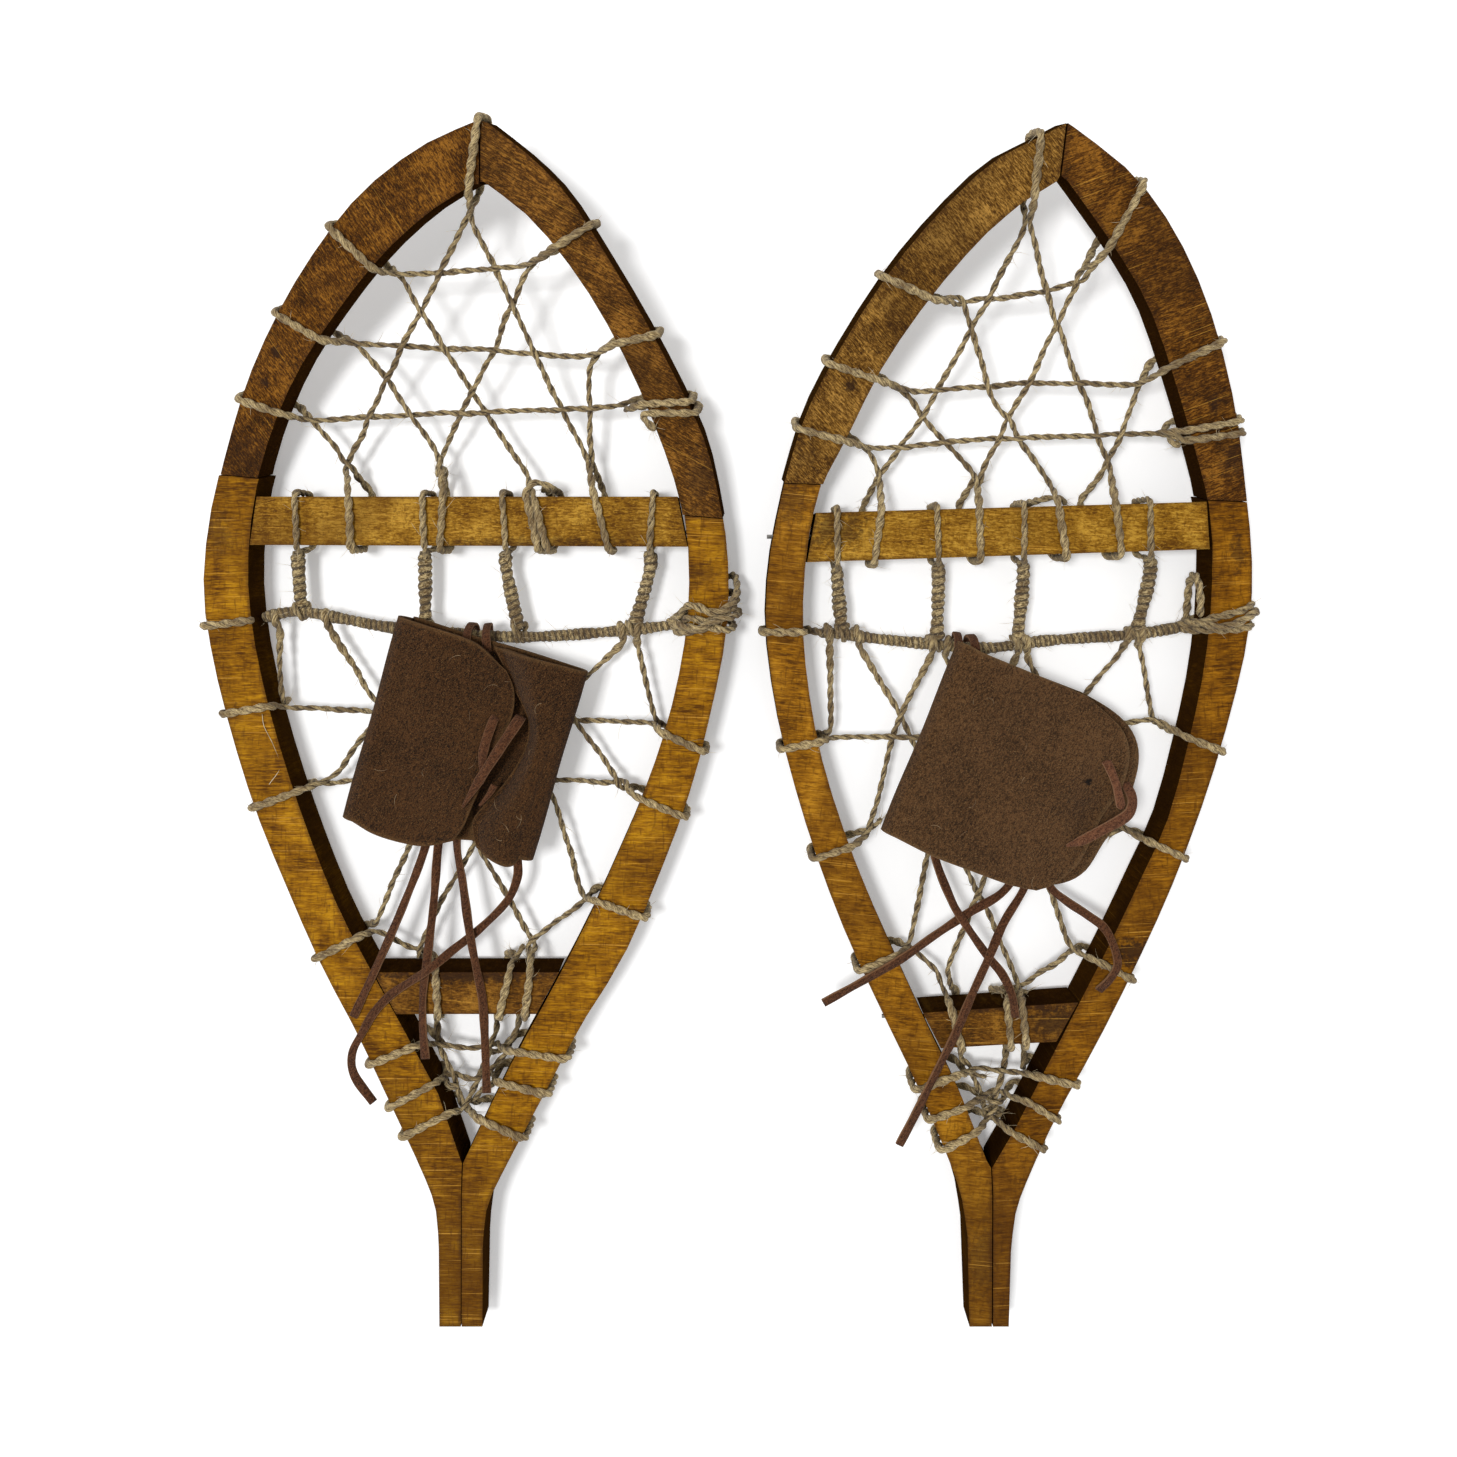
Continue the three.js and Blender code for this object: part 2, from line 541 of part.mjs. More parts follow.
function leftLacing({ foot, toe }) {
  const tip = [[-86.3, 180.8], [-83.6, 202.3]];
  const toeA = [
    [[-119.6, 154.5], [-132.6, 167]],
    [[-138, 131], [-151, 138.6]],
    [[-148.5, 105], [-162.6, 109.8]],
  ];
  const toeB = [
    [[-57.5, 160.6], [-46.5, 167.5]],
    [[-38, 128.3], [-25.5, 131]],
    [[-28, 107.6], [-14, 108]],
  ];
  lacing('left_toe_net', [
    strand(back(toe.over(...tip)), toe.net([[-87.2, 170], [-113.8, 116], [-127.6, 89]]),
      foot.net([[-126.2, 78.9]])),
    strand(back(toe.under(...tip)), toe.net([[-85.6, 168], [-71.8, 141], [-56.5, 107.5], [-46.5, 90]]),
      foot.net([[-42.8, 78.9]])),
    strand(back(toe.over(...toeA[0])), toe.net([[-109, 150.9], [-96, 152], [-68, 153.9]], crossHeight),
      toe.over(...toeB[0])),
    strand(back(toe.under(...toeA[0])), toe.net([[-110, 151.8], [-80.5, 104], [-66, 84]]),
      foot.net([[-62.6, 78.9]])),
    strand(back(toe.under(...toeB[0])), toe.net([[-66.5, 155], [-79, 125], [-95.8, 91.5]]),
      foot.net([[-96, 78.9]])),
    strand(back(toe.over(...toeA[1])), toe.net([[-124, 128.3], [-78, 125.8], [-47, 123.8]], crossHeight),
      toe.over(...toeB[1])),
    strand(back(toe.under(...toeA[1])), toe.net([[-124, 128.6], [-113.5, 116], [-96.4, 91]])),
    strand(back(toe.under(...toeB[1])), toe.net([[-46.8, 122.5], [-46.5, 106], [-46.8, 90]])),
    strand(back(toe.over(...toeA[2])), toe.net([[-138.5, 102.4], [-121, 103.8], [-84, 105.4],
      [-40, 107.4]], crossHeight), toe.over(...toeB[2])),
    strand(back(toe.under(...toeA[2])), toe.net([[-138, 102.2], [-131, 94.3], [-127.4, 88]])),
    strand(back(toe.under(...toeB[2])), toe.net([[-33, 105.8], [-42, 107]], crossHeight)),
    ...[[-126.8, -125.4], [-96.2, -95.8], [-63, -61.2], [-43, -40.4]].flatMap(([top, bottom]) =>
      loops(foot.loop([top, 77.3], [bottom, 61]))),
  ]);

  const uprights = [
    { bar: [-144.2, -143.6], x: [-143.5, -142.4], end: 39.4, drop: 0 },
    { bar: [-101.8, -101.2], x: [-101.3, -101], end: 33.2, drop: 2.6 },
    { bar: [-75.2, -74.2], x: [-74.2, -69.8], end: 32.6, drop: 0 },
    { bar: [-25.2, -26.2], x: [-26.4, -31.6], end: 33.5, drop: 0 },
  ];
  const railWrap = [[-159.6, 36], [-174.4, 34.2]];
  const knot = [[[-13.4, 37], [0, 43]], [[-13.6, 34.2], [-0.8, 34.6]]];
  lacing('left_toe_cord', [
    strand(back(foot.over(...railWrap)), foot.net([[-153.5, 37.2]], cordHeight)),
    strand(back(foot.under(...railWrap)), foot.net([[-153.5, 37.2]], cordHeight)),
    tube(foot.net([[-155, 37], [-143.5, 39], [-127.5, 36.4], [-111, 33.5], [-78.2, 30.8], [-59.5, 30.8],
      [-31.8, 33], [-17, 34.8]], cordHeight), cordDiameter, 6),
    ...knot.flatMap((wrap) => ['over', 'under'].map((way) =>
      strand(back(foot[way](...wrap)), foot.net([[-18, 34.8]], cordHeight)))),
    ...uprights.flatMap(({ bar, x, end, drop }) => [
      ...loops(foot.loop([bar[0], 77.3], [bar[1], 61])),
      whipped(foot, [[x[0], 59.8], [x[0], 56], [x[1], end, cordHeight - drop]]),
    ]),
  ]);

  const wraps = {
    h4: [[-154.2, 7.4], [-167.4, 5]],
    h5: [[-145.2, -21.4], [-157.6, -26]],
    l6: [[-125, -70], [-136.4, -76]],
    r4: [[-21.6, -1.6], [-10.3, -6.6]],
    r5: [[-29, -23.4], [-17, -28.4]],
    r6: [[-43.5, -57.4], [-30, -62.2]],
  };
  lacing('left_foot_net', [
    strand(foot.net([[-151.2, 33.4, 12.5], [-149.4, 7.6, 14.5]])),
    strand(back(foot.over(...wraps.h4)), foot.net([[-148.6, 7.4, 14], [-144, 7.4], [-119, 5.8],
      [-50.8, 2.4], [-24.8, 2.4], [-22.5, 0.6]]), foot.over(...wraps.r4)),
    strand(back(foot.under(...wraps.h4)), foot.net([[-148.6, 6.6, 13]])),
    strand(back(foot.under(...wraps.r4)), foot.net([[-24.5, 1.6]])),
    strand(foot.net([[-30.4, 28.6], [-24.8, 2.6]])),
    strand(foot.net([[-36.6, 28.4], [-46.5, 18], [-106.5, -38.2], [-117.8, -66]])),
    strand(foot.net([[-134.6, 32.4], [-117.5, 8.8], [-84.2, -38.2], [-71.8, -58.8], [-65.6, -71]])),
    strand(back(foot.over(...wraps.h5)), foot.net([[-131.4, -17], [-120.5, -0.5], [-110, 5.3]], 11)),
    strand(back(foot.under(...wraps.h5)), foot.net([[-139, -18], [-125, -17.2], [-56.5, -17.4],
      [-37, -17.8]]), foot.under([-26.5, -19.5], [-14.6, -22])),
    strand(foot.net([[-51, 3], [-37.2, -17], [-32.6, -21.4]]), foot.over(...wraps.r5)),
    strand(foot.net([[-61, -17.6], [-58, -24], [-48.4, -56.4], [-46.8, -57]]), foot.over(...wraps.r6)),
    strand(back(foot.under(...wraps.r6)), foot.net([[-47.4, -57], [-65.2, -71.4], [-67, -76.8]])),
    strand(foot.net([[-84.4, -38.2], [-96.5, -58.8], [-104, -74.2]])),
    strand(back(foot.over(...wraps.l6)), foot.net([[-117.6, -66]])),
    strand(back(foot.under(...wraps.l6)), foot.net([[-116.6, -67.6], [-104, -74.6], [-98.2, -76.4],
      [-97.6, -78.2]])),
    strand(foot.net([[-65.6, -71], [-72.6, -76.8]])),
    ...[[-97.4, -96.6], [-73, -76.2], [-67, -67.8]].flatMap(([top, bottom]) =>
      loops(foot.loop([top, -81.3], [bottom, -95.2]))),
  ]);

  const tail = {
    a1: [[-106.6, -106.4], [-118.4, -111.2]],
    a2: [[-100, -119], [-111.4, -125.2]],
    a3: [[-94.6, -128.6], [-107, -135]],
    b1: [[-69.4, -107.4], [-56, -109.6]],
    b2: [[-75.6, -117.6], [-62.6, -121]],
    b3: [[-81.4, -130.4], [-70.6, -135.2]],
  };
  lacing('left_tail_net', [
    strand(back(foot.over(...tail.a1)), foot.net([[-97.6, -104.6], [-88, -106.6], [-77.6, -106.6]],
      crossHeight), foot.over(...tail.b1)),
    strand(back(foot.under(...tail.a1)), foot.net([[-97.6, -105.2]])),
    strand(back(foot.under(...tail.b1)), foot.net([[-75.6, -107], [-77.6, -106.6]], 8)),
    strand(back(foot.over(...tail.a2)), foot.net([[-95, -116.2], [-84, -116.8], [-79, -116]], crossHeight),
      foot.over(...tail.b2)),
    strand(back(foot.under(...tail.a2)), foot.net([[-94.4, -116.8]])),
    strand(back(foot.under(...tail.b2)), foot.net([[-79, -117]])),
    strand(back(foot.over(...tail.a3)), foot.net([[-87.6, -125.2]], crossHeight)),
    strand(back(foot.over(...tail.b3)), foot.net([[-86.6, -125.6]], crossHeight)),
    strand(back(foot.under(...tail.a3)), foot.net([[-88.2, -126]])),
    strand(back(foot.under(...tail.b3)), foot.net([[-86.2, -126]])),
    strand(foot.net([[-97.2, -99.2], [-96.6, -104], [-87.6, -126.4]])),
    strand(foot.net([[-77, -99.2], [-78.4, -104], [-87, -127]])),
    strand(foot.net([[-69.6, -98], [-73.6, -106], [-79.8, -116.4]])),
  ]);
}

function rightLacing({ foot, toe }) {
  const tip = [[101.8, 178], [103.8, 196.8]];
  const toeA = [
    [[67.2, 143.5], [54, 149.6]],
    [[49.5, 116.5], [35.6, 121]],
    [[39.4, 96], [25, 99.6]],
  ];
  const toeB = [
    [[127.6, 162], [136.8, 179]],
    [[147.2, 121], [161.6, 127.6]],
    [[153.2, 98.4], [169.4, 101.6]],
  ];
  lacing('right_toe_net', [
    strand(back(toe.over(...tip)), toe.net([[99.8, 167.4], [81, 133], [64.5, 103.4], [50.4, 84]]),
      foot.net([[49.6, 74.2]])),
    strand(back(toe.under(...tip)), toe.net([[99.6, 168], [109.5, 133.4], [118, 112], [127.4, 86]]),
      foot.net([[129.2, 76.6]])),
    strand(back(toe.over(...toeA[0])), toe.net([[78, 142.2], [104.5, 145.4], [116.2, 148.4]], crossHeight),
      toe.over(...toeB[0])),
    strand(back(toe.under(...toeA[0])), toe.net([[77.5, 142.6], [81, 133], [87.2, 111], [106, 82]]),
      foot.net([[109.6, 76.2]])),
    strand(back(toe.under(...toeB[0])), toe.net([[116, 148.6], [99.8, 115], [82.4, 83.6]]),
      foot.net([[84.2, 75.4]])),
    strand(back(toe.over(...toeA[1])), toe.net([[60.8, 112], [98, 115.2], [136.8, 114.4]], crossHeight),
      toe.over(...toeB[1])),
    strand(back(toe.under(...toeA[1])), toe.net([[60, 111.4], [64.5, 104], [82.4, 83.6]])),
    strand(back(toe.under(...toeB[1])), toe.net([[136.8, 114], [127.6, 88], [126.6, 86]])),
    strand(back(toe.over(...toeA[2])), toe.net([[47.2, 93], [85.8, 96.4], [132.5, 98.2]], crossHeight),
      toe.over(...toeB[2])),
    strand(back(toe.under(...toeA[2])), toe.net([[47, 92.6], [50.4, 84.4]])),
    strand(back(toe.under(...toeB[2])), toe.net([[140, 98]], crossHeight)),
    ...[[49.6, 71.2, 48.8, 57], [84.2, 72.6, 84.2, 58], [110.6, 74, 111.6, 58.8],
      [129.4, 74.6, 130, 59.2]].flatMap(([ax, ay, bx, by]) => loops(foot.loop([ax, ay], [bx, by]))),
  ]);

  const uprights = [
    { bar: [36.2, 71.6, 36.2, 56], x: [36.2, 37.8], end: 32.2 },
    { bar: [69.4, 72.8, 69.8, 57.4], x: [69.8, 69.4], end: 29 },
    { bar: [98.4, 73.4, 98.2, 58], x: [98, 96.2], end: 28.6 },
    { bar: [140.2, 75, 140.4, 59.6], x: [140.2, 135.8], end: 31.4 },
  ];
  const railWrap = [[25.8, 32.2], [13, 32.2]];
  const knot = [[[160, 39], [173, 43.6]], [[159.8, 35.6], [173, 35.4]]];
  lacing('right_toe_cord', [
    strand(back(foot.over(...railWrap)), foot.net([[31.6, 32]], cordHeight)),
    strand(back(foot.under(...railWrap)), foot.net([[31.6, 32]], cordHeight)),
    tube(foot.net([[30, 32], [38.8, 31.4], [50.5, 29.8], [69.2, 28], [85.8, 26.8], [103.2, 29],
      [120.8, 30.4], [135.8, 31.4], [155, 34.6]], cordHeight), cordDiameter, 6),
    ...knot.flatMap((wrap) => ['over', 'under'].map((way) =>
      strand(back(foot[way](...wrap)), foot.net([[155.6, 34.8]], cordHeight)))),
    ...uprights.flatMap(({ bar: [ax, ay, bx, by], x, end }) => [
      ...loops(foot.loop([ax, ay], [bx, by])),
      whipped(foot, [[x[0], by - 1.4], [x[0], by - 5], [x[1], end]]),
    ]),
  ]);

  const wraps = {
    h4: [[29, -4.6], [18, -6.8]],
    h5: [[39.6, -39.6], [29.4, -43]],
    l6: [[55.6, -75.6], [44.4, -80.2]],
    r4: [[152, -2.6], [163, -7]],
    r5: [[140.4, -37.6], [150.8, -42.6]],
    r6: [[123.4, -77.6], [132.6, -82.6]],
  };
  lacing('right_foot_net', [
    strand(foot.net([[32.2, 28.4], [34.2, -2.4]])),
    strand(back(foot.over(...wraps.h4)), foot.net([[34.2, -2.8], [59.8, -2.8], [133.5, 1.8],
      [141.2, 3.4]]), foot.over(...wraps.r4)),
    strand(back(foot.under(...wraps.h4)), foot.net([[35, -3.2]])),
    strand(back(foot.under(...wraps.r4)), foot.net([[140.6, 2.8]])),
    strand(foot.net([[41.8, 27.2], [57.2, 4.8], [62.2, -5.8], [78.5, -45.5], [85.8, -59.5], [97, -85.6]])),
    strand(foot.net([[66.6, 24.6], [57.2, 4.8], [54.2, -4.8], [50.5, -19.8], [47.2, -33.6]]),
      foot.over(...wraps.h5)),
    strand(back(foot.under(...wraps.h5)), foot.net([[47.4, -33.2]])),
    strand(foot.net([[72.6, 24], [106.8, -52.5], [113.8, -73.5]])),
    strand(foot.net([[95, 25.6], [66.8, -40.8], [60, -72.4]])),
    strand(foot.net([[98.2, 25.2], [101, 20], [130.2, -32.8]]), foot.over(...wraps.r5)),
    strand(back(foot.under(...wraps.r5)), foot.net([[129.6, -31.8]])),
    strand(foot.net([[131.6, 27.6], [118.8, 11.8], [85.8, -49.2], [71.5, -81.8], [72.2, -89.6]])),
    strand(foot.net([[137, 28], [141.2, 3.6]])),
    strand(back(foot.over(...wraps.l6)), foot.net([[61.2, -72.6]], 12)),
    strand(back(foot.under(...wraps.l6)), foot.net([[60, -72.6], [71.5, -82]])),
    strand(back(foot.over(...wraps.r6)), foot.net([[113.8, -73.6], [97.6, -85.6], [97.4, -88]])),
    strand(back(foot.under(...wraps.r6)), foot.net([[114.2, -74]])),
    ...[[73.2, -94, 75.6, -106.2], [97.6, -92.8, 98.4, -105]].flatMap(([ax, ay, bx, by]) =>
      loops(foot.loop([ax, ay], [bx, by]))),
  ]);

  const tail = {
    a1: [[75.6, -115.4], [63.8, -119.6]],
    a2: [[79.4, -125.6], [68, -129.6]],
    a3: [[84.4, -133], [72.8, -139.2]],
    b1: [[104.4, -115.8], [115, -118.4]],
    b2: [[98.6, -123.4], [108.4, -129.6]],
    b3: [[95, -134.6], [104, -139.6]],
  };
  lacing('right_tail_net', [
    strand(back(foot.over(...tail.a1)), foot.net([[82, -113.9], [86.5, -113.5], [94, -114.4]], crossHeight),
      foot.over(...tail.b1)),
    strand(back(foot.under(...tail.a1)), foot.net([[82, -114.4]])),
    strand(back(foot.under(...tail.b1)), foot.net([[95, -114.8]])),
    strand(back(foot.over(...tail.a2)), foot.net([[84.8, -122.4], [91, -121.8]], crossHeight),
      foot.over(...tail.b2)),
    strand(back(foot.under(...tail.a2)), foot.net([[85, -123]])),
    strand(back(foot.under(...tail.b2)), foot.net([[90.6, -122.6]])),
    strand(back(foot.over(...tail.a3)), foot.net([[87.2, -127.6]], crossHeight)),
    strand(back(foot.over(...tail.b3)), foot.net([[88, -128.4]], crossHeight)),
    strand(back(foot.under(...tail.a3)), foot.net([[87, -128.4]])),
    strand(back(foot.under(...tail.b3)), foot.net([[88.2, -129]])),
    strand(foot.net([[77.6, -110.6], [80.6, -114.4], [88, -129]])),
    strand(foot.net([[92.4, -109.4], [91.6, -115], [86.6, -128.6]])),
    strand(foot.net([[98.6, -109.2], [98, -114.8]])),
  ]);
}

leftLacing(frame('left', leftPlan));
pocket('left', leftPlan);
rightLacing(frame('right', rightPlan));
pocket('right', rightPlan);

export default snowshoes;
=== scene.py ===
# A pair of small decorative snowshoes, laced with jute twine, with folded suede pockets.
# Plan points are millimetres seen from EYE, on the level of the rails' top faces, as in part.mjs.
import math
import random

import bpy
import numpy as np
from mathutils import Matrix, Vector
from mathutils.bvhtree import BVHTree
from mathutils.kdtree import KDTree

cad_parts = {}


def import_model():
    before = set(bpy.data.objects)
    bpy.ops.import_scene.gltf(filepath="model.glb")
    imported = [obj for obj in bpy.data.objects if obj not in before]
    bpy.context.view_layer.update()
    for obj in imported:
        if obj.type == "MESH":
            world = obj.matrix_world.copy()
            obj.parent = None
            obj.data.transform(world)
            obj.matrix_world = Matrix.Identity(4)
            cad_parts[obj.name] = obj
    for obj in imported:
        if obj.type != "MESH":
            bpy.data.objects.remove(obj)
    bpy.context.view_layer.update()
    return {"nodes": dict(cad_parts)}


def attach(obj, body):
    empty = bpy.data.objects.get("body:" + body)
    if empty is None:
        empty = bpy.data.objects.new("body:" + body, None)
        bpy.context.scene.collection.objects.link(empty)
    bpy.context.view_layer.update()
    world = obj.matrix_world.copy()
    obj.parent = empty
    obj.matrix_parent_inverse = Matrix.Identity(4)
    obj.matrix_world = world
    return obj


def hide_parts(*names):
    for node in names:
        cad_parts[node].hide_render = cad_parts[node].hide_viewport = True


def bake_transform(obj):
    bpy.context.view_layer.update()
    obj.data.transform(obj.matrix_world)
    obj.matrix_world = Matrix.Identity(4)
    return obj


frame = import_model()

MM = 0.001
SHIFT = Vector((-0.355, 0.945, -0.18))
RAIL_TOP = 18.55
RAIL_BOTTOM = 3.55
EYE = Vector((0, 60, RAIL_TOP + 430))
TOE_TILT = math.radians(15)
NET_HEIGHT = 10.4
CORD_HEIGHT = 11.0
HUG = 1.38
LOWEST_TWINE = 0.3
ABOVE_ALL = 60
rng = random.Random(7)


def world(point):
    return (Vector(point) + SHIFT) * MM


def srgb(*values):
    """A linear colour from 0-255 display values."""
    scaled = [value / 255 for value in values]
    return (*[v / 12.92 if v <= 0.04045 else ((v + 0.055) / 1.055) ** 2.4 for v in scaled], 1)


# ---------------------------------------------------------------- camera
camera_data = bpy.data.cameras.new("camera")
camera_data.sensor_width = 36
camera_data.lens = 31.874
camera_data.shift_y = -0.12354
camera = bpy.data.objects.new("camera", camera_data)
bpy.context.scene.collection.objects.link(camera)
camera.location = world(EYE)
bpy.context.scene.camera = camera


# ---------------------------------------------------------------- meshes
def add_piece(name, vertices, faces, material, body, slot, attributes=None):
    """A new object from millimetre points, with its material and body. Its slot argument is not used.
    """
    mesh = bpy.data.meshes.new(name)
    points = (np.asarray(vertices, dtype=float) + np.array(SHIFT)) * MM
    mesh.from_pydata(points.tolist(), [], faces)
    for key, values in (attributes or {}).items():
        values = np.asarray(values, dtype=np.float32)
        kind, field = ("FLOAT", "value") if values.ndim == 1 else ("FLOAT_VECTOR", "vector")
        layer = mesh.attributes.new(key, kind, "POINT")
        layer.data.foreach_set(field, values.ravel())
    mesh.polygons.foreach_set("use_smooth", [True] * len(faces))
    mesh.update()
    piece = bpy.data.objects.new(name, mesh)
    bpy.context.scene.collection.objects.link(piece)
    mesh.materials.append(material)
    if body:
        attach(piece, body)
    return piece


def resample(points, step=None, count=None):
    """Evenly spaced points along a polyline, and the distance of each along it."""
    points = np.asarray(points, dtype=float)
    lengths = np.linalg.norm(np.diff(points[:, :3], axis=0), axis=1)
    places = np.concatenate([[0], np.cumsum(lengths)])
    count = count or max(2, int(round(places[-1] / step)) + 1)
    wanted = np.linspace(0, places[-1], count)
    return np.stack([np.interp(wanted, places, column) for column in points.T], axis=1), wanted


def smooth_curve(points, pieces=8):
    """A Catmull-Rom curve through its points."""
    points = np.asarray(points, dtype=float)
    if len(points) < 3:
        return points
    padded = np.vstack([2 * points[0] - points[1], points, 2 * points[-1] - points[-2]])
    t = np.linspace(0, 1, pieces, endpoint=False)[:, None]
    runs = []
    for a, b, c, d in zip(padded, padded[1:], padded[2:], padded[3:]):
        runs.append(0.5 * (2 * b + (c - a) * t + (2 * a - 5 * b + 4 * c - d) * t ** 2
                           + (3 * b - a - 3 * c + d) * t ** 3))
    return np.vstack(runs + [points[-1:]])


def unit(rows):
    """Each row at a length of one."""
    return rows / np.linalg.norm(rows, axis=1)[:, None]


def frames(points):
    """Two unit vectors across a path at each point, turning with it as little as possible."""
    tangents = unit(np.gradient(points, axis=0))
    first = np.cross(tangents[0], (0, 0, 1.0))
    if np.linalg.norm(first) < 0.1:
        first = np.cross(tangents[0], (1.0, 0, 0))
    across = [first / np.linalg.norm(first)]
    for tangent in tangents[1:]:
        side = across[-1] - tangent * np.dot(across[-1], tangent)
        across.append(side / np.linalg.norm(side))
    across = np.array(across)
    return across, np.cross(tangents, across)


def ring_faces(rings, around, offset=0):
    """Quads over a tube of rings, with one polygon as a cap at each end."""
    faces = []
    for i in range(rings - 1):
        for j in range(around):
            k = (j + 1) % around
            a = offset + i * around
            faces.append((a + j, a + k, a + around + k, a + around + j))
    faces.append(tuple(offset + j for j in reversed(range(around))))
    faces.append(tuple(offset + (rings - 1) * around + j for j in range(around)))
    return faces


def fibre(spine, widths):
    """The points of a thin three-sided tube along a spine."""
    angles = [corner * 2 * math.pi / 3 for corner in range(3)]
    return [spot + across * math.cos(angle) * width + over * math.sin(angle) * width
            for spot, across, over, width in zip(spine, *frames(np.array(spine)), widths)
            for angle in angles]


def joined(parts):
    """The vertices and faces of several parts as one part."""
    vertices, faces = [], []
    for more_vertices, more_faces in parts:
        faces += [tuple(len(vertices) + i for i in face) for face in more_faces]
        vertices += more_vertices
    return vertices, faces


def skin_of(pieces, place=Matrix()):
    """The surfaces of some pieces, in millimetres, for casting rays at."""
    parts = [([place @ (vertex.co / MM - SHIFT) for vertex in piece.data.vertices],
              [tuple(polygon.vertices) for polygon in piece.data.polygons]) for piece in pieces]
    return BVHTree.FromPolygons(*joined(parts))


def below(skin, x, y):
    """The top of a skin at a plan point, or None beside it."""
    return skin.ray_cast(Vector((x, y, ABOVE_ALL)), Vector((0, 0, -1)))[0]


def tree_of(points):
    """A search tree over points, in their order."""
    tree = KDTree(len(points))
    for row, point in enumerate(points):
        tree.insert(point, row)
    tree.balance()
    return tree


def soften(piece, name, width, segments, degrees):
    """Round a piece's sharp edges, with the width in millimetres."""
    edges = piece.modifiers.new(name, "BEVEL")
    edges.width = width * MM
    edges.segments = segments
    edges.limit_method = "ANGLE"
    edges.angle_limit = math.radians(degrees)


def paint(piece, material):
    """Give a piece one material in place of its own."""
    piece.data.materials.clear()
    piece.data.materials.append(material)


# ---------------------------------------------------------------- materials
class Shader:
    """A short way to build a node material."""

    def __init__(self, name):
        self.material = bpy.data.materials.new(name)
        self.material.use_nodes = True
        self.tree = self.material.node_tree
        self.base = self.tree.nodes["Principled BSDF"]

    def put(self, socket, value):
        if isinstance(value, bpy.types.NodeSocket):
            self.tree.links.new(value, socket)
        else:
            socket.default_value = value

    def node(self, kind, inputs=(), output=0, **settings):
        node = self.tree.nodes.new("ShaderNode" + kind)
        for key, value in settings.items():
            setattr(node, key, value)
        for key, value in dict(inputs).items():
            self.put(node.inputs[key], value)
        return node.outputs[output]

    def plus(self, a, b):
        return self.node("Math", {0: a, 1: b}, operation="ADD")

    def times(self, a, b):
        return self.node("Math", {0: a, 1: b}, operation="MULTIPLY")

    def vector(self, operation, a, b=(0, 0, 0), output="Value"):
        return self.node("VectorMath", {0: a, 1: b}, output=output, operation=operation)

    def position(self):
        return self.node("TexCoord", output="Object")

    def place(self, scale=(1000, 1000, 1000), turn=0.0, attribute=None):
        """Object or attribute coordinates, turned about Z and then scaled."""
        if attribute:
            source = self.node("Attribute", output="Vector", attribute_name=attribute)
        else:
            source = self.position()
        turned = self.node("Mapping", {"Vector": source, "Rotation": (0, 0, turn)})
        return self.node("Mapping", {"Vector": turned, "Scale": scale})

    def noise(self, place, scale=1.0, detail=3.0, rough=0.55, twist=0.0):
        return self.node("TexNoise", {"Vector": place, "Scale": scale, "Detail": detail,
                                      "Roughness": rough, "Distortion": twist})

    def span(self, value, low, high, to_low=0.0, to_high=1.0):
        return self.node("MapRange", {"Value": value, "From Min": low, "From Max": high,
                                      "To Min": to_low, "To Max": to_high},
                         interpolation_type="SMOOTHSTEP")

    def mix(self, factor, a, b, blend="MIX"):
        node = self.tree.nodes.new("ShaderNodeMix")
        node.data_type = "RGBA"
        node.blend_type = blend
        self.put(node.inputs[0], factor)
        self.put(node.inputs[6], a)
        self.put(node.inputs[7], b)
        return node.outputs[2]

    def finish(self, colour, roughness, height, depth, **extra):
        bump = self.node("Bump", {"Height": height, "Distance": depth, "Strength": 1.0})
        self.put(self.base.inputs["Base Color"], colour)
        self.put(self.base.inputs["Roughness"], roughness)
        self.put(self.base.inputs["Normal"], bump)
        for key, value in extra.items():
            self.put(self.base.inputs[key.replace("_", " ")], value)
        return self.material


# Tones that several materials share, and where the darker tails begin and end, in metres.
SCRATCH = srgb(216, 160, 62)
# The wall tone and WALL_SHADE darken the wood's side walls: painted shade, with some heavier stain.
WALL_STAIN_AND_SHADE = srgb(34, 20, 7)
WALL_SHADE = 0.8
RIM = srgb(30, 17, 8)
WORN_EDGE = srgb(56, 29, 6)
STAIN = srgb(40, 22, 9)
HOLE_SHADE = srgb(16, 9, 4)
TAIL_START = -0.115
TAIL_END = -0.175


def twine_material():
    shader = Shader("twine")
    lobe = shader.node("Attribute", output="Fac", attribute_name="lobe")
    fibre = shader.noise(shader.place((1.6, 1.6, 0.32), attribute="ply"), 2.2, 3, 0.65)
    strands = shader.noise(shader.place((2.6, 2.6, 0.5), attribute="ply"), 2.6, 2, 0.5)
    patches = shader.noise(shader.place((110, 110, 110)), 1.0, 2, 0.5)
    stain = shader.span(patches, 0.42, 0.66)
    pale = shader.mix(shader.span(fibre, 0.38, 0.62), srgb(100, 76, 38), srgb(210, 186, 134))
    pale = shader.mix(shader.times(stain, 0.6), pale, srgb(86, 60, 26))
    # Low lobe values, in the grooves between plies and between whipping turns, go to the darkest brown:
    # painted shade.
    depth = shader.plus(lobe, shader.span(strands, 0.34, 0.66, -0.4, 0.3))
    colour = shader.mix(shader.span(depth, 0.0, 0.62), srgb(50, 33, 13), pale)
    height = shader.plus(fibre, strands)
    return shader.finish(colour, 0.85, height, 0.00028, Sheen_Weight=0.12)


